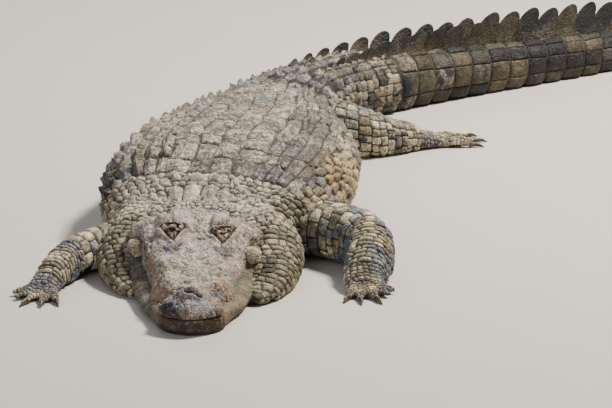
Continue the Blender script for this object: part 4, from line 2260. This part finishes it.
class Shader:
    """Short way to lay out shader nodes."""

    def __init__(self, name: str) -> None:
        """Starts a material with one surface shader.

        Args:
            name: the material's name.
        """
        self.material = bpy.data.materials.new(name)
        self.material.use_nodes = True
        self.tree = self.material.node_tree
        self.surface = self.tree.nodes["Principled BSDF"]

    def node(self, kind: str, **settings: object) -> bpy.types.Node:
        """Adds a node.

        Args:
            kind: the type of node.
            settings: properties to set on it.

        Returns:
            The node.
        """
        made = self.tree.nodes.new(kind)
        for key, value in settings.items():
            setattr(made, key, value)
        return made

    def link(self, source: bpy.types.NodeSocket, target: bpy.types.NodeSocket) -> None:
        """Joins two sockets."""
        self.tree.links.new(source, target)

    def feed(self, target: bpy.types.NodeSocket, value: object) -> None:
        """Gives a socket either a link or a constant.

        Args:
            target: the socket.
            value: another socket, or a constant.
        """
        if isinstance(value, bpy.types.NodeSocket):
            self.link(value, target)
        else:
            target.default_value = value

    def attribute(self, name: str) -> tuple[bpy.types.NodeSocket, ...]:
        """Reads a stored colour.

        Args:
            name: the attribute's name.

        Returns:
            Sockets of its four numbers.
        """
        source = self.node("ShaderNodeAttribute", attribute_name=name)
        split = self.node("ShaderNodeSeparateColor")
        self.link(source.outputs["Color"], split.inputs[0])
        return split.outputs[0], split.outputs[1], split.outputs[2], source.outputs["Alpha"]

    def noise(self, place: bpy.types.NodeSocket, scale: float, detail: float = 4.0,
              roughness: float = 0.55) -> bpy.types.NodeSocket:
        """Adds a fractal noise.

        Args:
            place: the coordinates.
            scale: waves over a metre.
            detail: number of octaves.
            roughness: strength of each octave over the one before.

        Returns:
            The value, from 0 to 1.
        """
        made = self.node("ShaderNodeTexNoise")
        self.link(place, made.inputs["Vector"])
        made.inputs["Scale"].default_value = scale
        made.inputs["Detail"].default_value = detail
        made.inputs["Roughness"].default_value = roughness
        return made.outputs["Fac"]

    def cells(self, place: bpy.types.NodeSocket, scale: float, bend: float) -> bpy.types.NodeSocket:
        """Distance to the edges of irregular cells.

        Args:
            place: the coordinates.
            scale: cells over a metre.
            bend: how far the coordinates are bent by a noise.

        Returns:
            The distance over the size of a cell.
        """
        wave = self.node("ShaderNodeTexNoise")
        self.link(place, wave.inputs["Vector"])
        wave.inputs["Scale"].default_value = 0.45 * scale
        shift = self.node("ShaderNodeVectorMath", operation="MULTIPLY_ADD")
        self.link(wave.outputs["Color"], shift.inputs[0])
        shift.inputs[1].default_value = (bend, bend, bend)
        self.link(place, shift.inputs[2])
        net = self.node("ShaderNodeTexVoronoi", feature="DISTANCE_TO_EDGE")
        self.link(shift.outputs[0], net.inputs["Vector"])
        net.inputs["Scale"].default_value = scale
        return net.outputs["Distance"]

    def math(self, operation: str, a: object, b: object = 0.0, clamp: bool = False) -> bpy.types.NodeSocket:
        """One step of arithmetic.

        Args:
            operation: the renderer's name for it.
            a: first value or socket.
            b: second value or socket.
            clamp: whether the result is kept between 0 and 1.

        Returns:
            The result.
        """
        made = self.node("ShaderNodeMath", operation=operation, use_clamp=clamp)
        self.feed(made.inputs[0], a)
        self.feed(made.inputs[1], b)
        return made.outputs[0]

    def swing(self, value: object, factor: float) -> bpy.types.NodeSocket:
        """A value from 0 to 1 as a swing to both sides of 0, times a factor."""
        return self.math("MULTIPLY", self.math("SUBTRACT", value, 0.5), factor)

    def ramp(self, value: object, low: float, high: float, start: float = 0.0,
             end: float = 1.0) -> bpy.types.NodeSocket:
        """Smooth change as a value goes from low to high.

        Args:
            value: the value or socket.
            low: where the change starts.
            high: where it ends.
            start: result up to low.
            end: result from high on.

        Returns:
            The result.
        """
        made = self.node("ShaderNodeMapRange", interpolation_type="SMOOTHSTEP")
        self.feed(made.inputs["Value"], value)
        for key, number in (("From Min", low), ("From Max", high), ("To Min", start), ("To Max", end)):
            made.inputs[key].default_value = number
        return made.outputs["Result"]

    def mix(self, share: object, first: object, second: object, blend: str = "MIX") -> bpy.types.NodeSocket:
        """Mixes two colours.

        Args:
            share: how much of the second one, from 0 to 1.
            first: the first colour.
            second: the second colour.
            blend: how they are mixed, by the renderer's name.

        Returns:
            The mixture.
        """
        made = self.node("ShaderNodeMix", data_type="RGBA", blend_type=blend)
        for number, value in ((0, share), (6, first), (7, second)):
            self.feed(made.inputs[number], value)
        return made.outputs[2]

    def bump(self, height: bpy.types.NodeSocket, distance: float,
             below: bpy.types.NodeSocket | None = None) -> bpy.types.NodeSocket:
        """Bumps from a height, over other bumps.

        Args:
            height: the height, from 0 to 1.
            distance: metres for a height of 1.
            below: normal of the other bumps.

        Returns:
            The normal.
        """
        made = self.node("ShaderNodeBump")
        made.inputs["Strength"].default_value = 1.0
        made.inputs["Distance"].default_value = distance
        self.link(height, made.inputs["Height"])
        if below is not None:
            self.link(below, made.inputs["Normal"])
        return made.outputs["Normal"]


@dataclass(frozen=True)
class HideFinish:
    """Finish of hide: pale horn, with ochre, blue-grey and dark scales, dried mud and dark grooves.

    grain is the depth of the finest bumps in metres; patchy and net are sizes of mottling and fine cracks in
    waves over a metre; the depths, wear, contrast and mottle are strengths.
    """

    name: str
    pale: tuple = (176, 164, 138)
    olive: tuple = (132, 124, 98)
    ochre: tuple = (150, 122, 74)
    blue: tuple = (104, 108, 110)
    dark: tuple = (46, 46, 48)
    mud: tuple = (166, 154, 138)
    groove: tuple = (52, 44, 34)
    rust: tuple | None = None
    algae: tuple | None = None
    groove_depth: float = 0.88
    grain: float = 0.0010
    wear: float = 1.0
    contrast: float = 0.30
    mottle: float = 0.9
    patchy: float = 26.0
    net: float = 95.0
    net_depth: float = 0.35
    rough_low: float = 0.50
    rough_high: float = 0.86

    def make(self) -> bpy.types.Material:
        """Builds the material.

        Returns:
            The material, which reads the stored mark and part of each point.
        """
        sh = Shader(self.name)
        place = sh.node("ShaderNodeTexCoord").outputs["Object"]
        dark, ochre, blue, mud = sh.attribute("mark")
        tone, cavity, across, along = sh.attribute("part")
        coarse = sh.noise(place, 9.0, 5.0, 0.6)
        middle = sh.noise(place, self.patchy, 6.0, 0.72)
        grit = sh.noise(place, 90.0, 5.0, 0.7)
        fine = sh.noise(place, 300.0, 4.0, 0.65)
        strands = sh.node("ShaderNodeCombineXYZ")
        sh.link(across, strands.inputs[0])
        sh.link(sh.math("MULTIPLY", along, 2.2), strands.inputs[1])
        sh.link(sh.math("MULTIPLY", tone, 37.0), strands.inputs[2])
        lines = sh.noise(strands.outputs[0], 2.4, 4.0, 0.65)
        seams = sh.cells(place, self.net, 0.010)

        # Layers of colour: horn, ochre, blue-grey, dark stains and mud.
        base = sh.math("ADD", sh.math("MULTIPLY", tone, 0.6), sh.math("MULTIPLY", coarse, 0.5))
        colour = sh.mix(sh.ramp(base, 0.25, 0.85), tint(*self.olive), tint(*self.pale))
        rusty = sh.math("MULTIPLY", ochre, sh.ramp(middle, 0.25, 0.6), True)
        colour = sh.mix(rusty, colour, tint(*self.ochre))
        slate = sh.math("MULTIPLY", blue, sh.ramp(tone, 0.0, 0.45), True)
        colour = sh.mix(slate, colour, tint(*self.blue))
        stain = sh.math("ADD", dark, sh.swing(middle, self.mottle * 2.0))
        colour = sh.mix(sh.ramp(stain, 0.30, 0.75), colour, tint(*self.dark))
        crust = sh.math("ADD", sh.math("ADD", mud, sh.swing(coarse, 1.3)), sh.swing(grit, 1.1))
        colour = sh.mix(sh.ramp(crust, 0.35, 0.85, 0.0, 0.92), colour, tint(*self.mud))
        if self.rust is not None:
            colour = sh.mix(sh.math("MULTIPLY", across, 0.85), colour, tint(*self.rust))
        if self.algae is not None:
            split = sh.node("ShaderNodeSeparateXYZ")
            sh.link(place, split.inputs[0])
            low = sh.ramp(split.outputs[2], 0.030, 0.105, 1.0, 0.0)
            left = sh.ramp(split.outputs[0], 0.02, 0.16)
            green = sh.math("MULTIPLY", sh.math("MULTIPLY", low, left), sh.ramp(coarse, 0.40, 0.62), True)
            colour = sh.mix(sh.math("MULTIPLY", green, 0.8), colour, tint(*self.algae))

        # Shades over them: noises of four sizes, the scale's own tone, fine cracks and grooves.
        bright = 1.0 + 0.30 * self.contrast
        for value, low, high, dim in ((middle, 0.40, 0.60, 1.0), (grit, 0.38, 0.60, 1.0),
                                      (fine, 0.30, 0.70, 0.5), (lines, 0.38, 0.58, 0.8 * self.wear)):
            shade = sh.ramp(value, low, high, 1.0 - self.contrast * dim, bright)
            colour = sh.mix(1.0, colour, shade, "MULTIPLY")
        colour = sh.mix(1.0, colour, sh.ramp(tone, 0.0, 1.0, 0.82, 1.12), "MULTIPLY")
        crack = sh.ramp(seams, 0.0, 0.14, 1.0, 0.0)
        colour = sh.mix(sh.math("MULTIPLY", crack, self.net_depth), colour, tint(*self.groove))
        hollow = sh.math("ADD", cavity, sh.swing(middle, 0.5))
        colour = sh.mix(sh.ramp(hollow, -0.05, 0.50, self.groove_depth, 0.0), colour, tint(*self.groove))
        sh.link(colour, sh.surface.inputs["Base Color"])

        damp = sh.math("ADD", crust, sh.math("MULTIPLY", fine, 0.3))
        sh.link(sh.ramp(damp, 0.1, 0.9, self.rough_low, self.rough_high), sh.surface.inputs["Roughness"])
        sh.surface.inputs["Specular IOR Level"].default_value = 0.35
        normal = sh.bump(lines, self.grain * self.wear)
        for value, factor in ((sh.ramp(seams, 0.0, 0.22), 0.9), (middle, 5.0), (grit, 1.5), (fine, 0.5)):
            normal = sh.bump(value, self.grain * factor, normal)
        sh.link(normal, sh.surface.inputs["Normal"])
        return sh.material


@dataclass(frozen=True)
class HornFinish:
    """Finish of claws and teeth: smooth horn with lengthwise streaks and stains."""

    name: str
    base: tuple = (44, 38, 33)
    worn: tuple = (112, 98, 82)
    roughness: float = 0.38

    def make(self) -> bpy.types.Material:
        """Builds the material.

        Returns:
            The material.
        """
        sh = Shader(self.name)
        place = sh.node("ShaderNodeTexCoord").outputs["Object"]
        streaks = sh.noise(place, 95.0, 5.0, 0.6)
        stains = sh.noise(place, 28.0, 3.0, 0.5)
        wear = sh.math("ADD", streaks, sh.math("MULTIPLY", stains, 0.5))
        colour = sh.mix(sh.ramp(wear, 0.55, 1.0), tint(*self.base), tint(*self.worn))
        sh.link(colour, sh.surface.inputs["Base Color"])
        sh.link(sh.ramp(streaks, 0.2, 0.8, self.roughness - 0.08, self.roughness + 0.2),
                sh.surface.inputs["Roughness"])
        sh.link(sh.bump(streaks, 0.0005), sh.surface.inputs["Normal"])
        return sh.material


@dataclass(frozen=True)
class StageFinish:
    """Finish of the plain pale floor."""

    name: str
    colour: tuple = tint(196, 190, 182)

    def make(self) -> bpy.types.Material:
        """Builds the material.

        Returns:
            The material.
        """
        sh = Shader(self.name)
        place = sh.node("ShaderNodeTexCoord").outputs["Object"]
        grain = sh.noise(place, 3.0, 3.0, 0.5)
        darker = tuple(c * 0.94 for c in self.colour[:3]) + (1.0,)
        sh.link(sh.mix(grain, self.colour, darker), sh.surface.inputs["Base Color"])
        sh.surface.inputs["Roughness"].default_value = 0.85
        return sh.material


FINISHES = {
    "skin": HideFinish(
        "skin_hide", pale=(130, 118, 98), olive=(100, 92, 74), mud=(132, 121, 106), groove=(40, 34, 28),
        groove_depth=0.90, wear=0.0),
    "head": HideFinish(
        "head_hide", pale=(196, 180, 158), olive=(152, 136, 114), mud=(205, 190, 177),
        ochre=(158, 128, 98), blue=(146, 151, 160), dark=(54, 52, 56), groove=(42, 34, 28),
        rust=(146, 84, 34), groove_depth=0.92, grain=0.0013, wear=0.0, contrast=0.35, patchy=34.0,
        net=120.0, net_depth=0.42, rough_low=0.36),
    "plate": HideFinish(
        "orbit_plate_hide", pale=(196, 184, 164), olive=(168, 160, 142), mud=(204, 194, 180),
        blue=(168, 171, 176), groove_depth=0.8, grain=0.0012, wear=0.0, net=130.0),
    "jaw": HideFinish(
        "jaw_hide", pale=(134, 124, 106), olive=(100, 94, 78), mud=(130, 120, 104),
        ochre=(122, 110, 78), blue=(92, 94, 90), dark=(46, 36, 26), rust=(128, 78, 34),
        groove=(40, 34, 27), groove_depth=0.6, wear=0.0, rough_low=0.38, patchy=34.0, net=110.0,
        net_depth=0.34),
    "neck": HideFinish(
        "neck_hide", pale=(172, 162, 138), olive=(118, 113, 90), mud=(206, 194, 176),
        groove=(44, 39, 31), groove_depth=0.92, algae=(96, 98, 44), wear=0.3, contrast=0.38),
    "back": HideFinish(
        "back_hide", pale=(204, 192, 172), olive=(154, 146, 126), mud=(207, 195, 179),
        blue=(128, 133, 141), groove=(70, 60, 50), groove_depth=0.85, grain=0.0016, wear=1.0,
        contrast=0.52, patchy=30.0, net=88.0, net_depth=0.60),
    "flank": HideFinish(
        "flank_hide", pale=(208, 194, 162), olive=(150, 141, 116), ochre=(194, 160, 98),
        blue=(108, 116, 127), dark=(56, 56, 60), groove=(36, 32, 28), groove_depth=0.95, contrast=0.42,
        mottle=1.2),
    "tail": HideFinish(
        "tail_hide", pale=(98, 90, 69), olive=(60, 56, 40), ochre=(94, 80, 50), dark=(31, 31, 35),
        blue=(68, 73, 82), groove=(26, 23, 20), grain=0.0014, wear=1.0, mottle=1.9, patchy=14.0,
        contrast=0.42, groove_depth=0.95),
    "limb": HideFinish(
        "limb_hide", pale=(230, 218, 186), olive=(164, 156, 126), mud=(140, 124, 108),
        ochre=(200, 172, 116), blue=(114, 123, 136), dark=(52, 54, 60), groove=(24, 21, 18),
        groove_depth=0.97, contrast=0.46, mottle=1.3, wear=0.5),
    "lid": HideFinish(
        "lid_hide", pale=(178, 152, 128), olive=(122, 98, 78), mud=(200, 182, 162),
        ochre=(128, 100, 76), groove=(28, 21, 18), groove_depth=0.97, wear=0.0, grain=0.0008,
        patchy=60.0, net=160.0, net_depth=0.2),
    "lump": HideFinish(
        "lump_hide", pale=(196, 184, 158), olive=(168, 156, 130), mud=(190, 178, 156), wear=0.0,
        groove_depth=0.6, net=110.0, groove=(60, 50, 40)),
    "claw": HornFinish(
        "claw_horn", base=(34, 30, 28), worn=(92, 82, 70)),
    "tooth": HornFinish(
        "tooth_enamel", base=(136, 92, 46), worn=(186, 160, 118), roughness=0.4),
}


# ------------------------------------------------------------------ stage, light and camera

@dataclass
class Stage:
    """Plain pale floor, soft studio light and the camera."""

    lens: float = 226.35
    pitch: float = 15.31
    camera: tuple = (0.300, -9.548, 2.974)
    floor_half: float = 60.0
    floor_drop: float = 0.0002
    floor_points: int = 41
    lights: tuple = (
        ("key", (3.4, 1.5, 5.8), (0.2, 0.3, 0.1), 1.2, 1100.0, tint(255, 247, 236)),
        ("fill", (-3.2, -6.2, 3.0), (0.0, 0.3, 0.1), 4.5, 165.0, tint(232, 240, 255)),
        ("rim", (-1.5, 6.5, 5.0), (0.4, 1.0, 0.1), 4.0, 200.0, tint(255, 252, 246)),
    )

    def build(self) -> None:
        """Adds the floor, the lights and the camera."""
        self._floor()
        for light in self.lights:
            self._light(*light)
        world = bpy.data.worlds.new("studio")
        world.use_nodes = True
        background = world.node_tree.nodes["Background"]
        background.inputs["Color"].default_value = tint(214, 218, 224)
        background.inputs["Strength"].default_value = 0.28
        bpy.context.scene.world = world
        self._camera()

    def _floor(self) -> None:
        """Adds a wide level floor, a hair below the soles."""
        count = self.floor_points
        line = np.linspace(-self.floor_half, self.floor_half, count)
        across, along = np.meshgrid(line, line, indexing="ij")
        points = np.stack([across, along, np.full(across.shape, -self.floor_drop)], axis=-1)
        mesh = make_mesh("floor", points.reshape(-1, 3), [grid_faces(count, count)])
        floor = add_object("floor", mesh)
        floor.data.materials.append(StageFinish("studio_floor").make())

    def _light(self, name: str, place: tuple, aim: tuple, size: float, power: float, colour: tuple) -> None:
        """Adds one soft lamp.

        Args:
            name: its name.
            place: where it hangs.
            aim: where it points.
            size: its width.
            power: its power in watts.
            colour: its colour.
        """
        lamp = bpy.data.lights.new(name, "AREA")
        lamp.size = size
        lamp.energy = power
        lamp.color = colour[:3]
        holder = bpy.data.objects.new(name, lamp)
        holder.location = place
        holder.rotation_euler = (Vector(aim) - Vector(place)).to_track_quat("-Z", "Y").to_euler()
        bpy.context.scene.collection.objects.link(holder)

    def _camera(self) -> None:
        """Adds the camera, looking along +Y and a little down."""
        lens = bpy.data.cameras.new("camera")
        lens.sensor_width = 36.0
        lens.lens = self.lens
        lens.clip_end = 200.0
        holder = bpy.data.objects.new("camera", lens)
        holder.location = Vector(self.camera) + Vector(SPINE.snout)
        holder.rotation_euler = (math.radians(90 - self.pitch), 0.0, 0.0)
        bpy.context.scene.collection.objects.link(holder)
        bpy.context.scene.camera = holder


# ------------------------------------------------------------------ assembly

@dataclass
class Crocodile:
    """The whole animal."""

    materials: dict = field(default_factory=dict)

    def finish(self, name: str) -> bpy.types.Material:
        """Material of one finish, made once.

        Args:
            name: the finish.

        Returns:
            The material.
        """
        if name not in self.materials:
            self.materials[name] = FINISHES[name].make()
        return self.materials[name]

    def dress(self, piece: bpy.types.Object, finish: str, slot: str, *nodes: str) -> bpy.types.Object:
        """Gives a piece its material and ties it to the model.

        Args:
            piece: the piece.
            finish: name of its finish.
            slot: the record's material slot.
            nodes: CAD nodes that it stands for.

        Returns:
            The piece.
        """
        piece.data.materials.append(self.finish(finish))
        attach(piece, "root")
        if nodes:
            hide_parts(*nodes)
        LOG.info("dressed %s", piece.name)
        return piece

    def build(self) -> None:
        """Builds everything in order: skin, head, coat, crest, claws."""
        flesh = list(BODY_NODES + HEAD_NODES) + [node for limb in LIMBS for node in limb.nodes]
        skin = Skin(self.dress(SKIN_FORM.build(), "skin", "back_skin", *flesh))
        self.build_head(skin)
        for plan in TrunkCoat(SKIN_FORM.surface()).coats():
            finish = {"neck_skin": "neck", "tail_skin": "tail"}.get(plan.slot, "flank")
            finish = "back" if plan.name == "coat_back" else finish
            self.dress(plan.build(skin), finish, plan.slot)
        self.dress(JowlCoat().coat().build(skin), "neck", "neck_skin")
        for limb in LIMBS:
            self.dress(LimbCoat(limb).coat().build(skin), "limb", "limb_skin")
            for piece, node in ClawMaker(limb).build():
                self.dress(piece, "claw", "claws", node)
        self.dress(Crest().build(), "tail", "tail_skin")

    def build_head(self, skin: Skin) -> None:
        """Builds the hide of both jaws, the lids with the plates over them, the mouth corners and teeth.

        Args:
            skin: the skin under the coat.
        """
        hide = HeadHide()
        self.dress(hide.build_upper(), "head", "head_skin")
        self.dress(hide.build_lower(), "jaw", "jaw_skin")
        plates = ScaleLook(height=0.0090, samples=13, dome=0.0030, tilt=-0.0040, gap=0.0010, roundness=0.24,
                           warp=0.24, rough=0.0055, grit=0.014, sink=0.006, edge=8.0)
        for side in (-1, 1):
            self.dress(Lid(side).build(), "lid", "eyelids", f"eye_{side_name(side)}")
        for corner in CORNERS:
            self.dress(corner.build(), "lump", "head_skin")
        crown, patches = SkullPlane(), []
        for low, high, rear, marks in ((0.038, 0.070, 0.524, (0.04, 0.10, 0.42, 0.55)),
                                       (0.073, 0.105, 0.500, (0.05, 0.15, 0.0, 0.6))):
            cells = np.concatenate([ruled((Lid.top - 0.0005, rear), across)
                                    for across in ((-high, -low), (low, high))])
            patches.append(Patch(crown, cells, plates, Region.HEAD, marks, False))
        plan = Coat("orbit_plates", "head_skin", patches, seed=91)
        self.dress(plan.build(skin), "plate", "head_skin")
        self.dress(Teeth("teeth_upper", (172, 198, 226, 256), -1).build(), "tooth", "head_skin")
        self.dress(Teeth("teeth_lower", (126,), 1).build(), "tooth", "jaw_skin")


def main() -> None:
    """Builds the stage and the animal."""
    logging.basicConfig(level=logging.INFO, format="%(name)s %(message)s")
    Stage().build()
    Crocodile().build()
    bpy.context.view_layer.update()


if __name__ == "__main__":
    main()
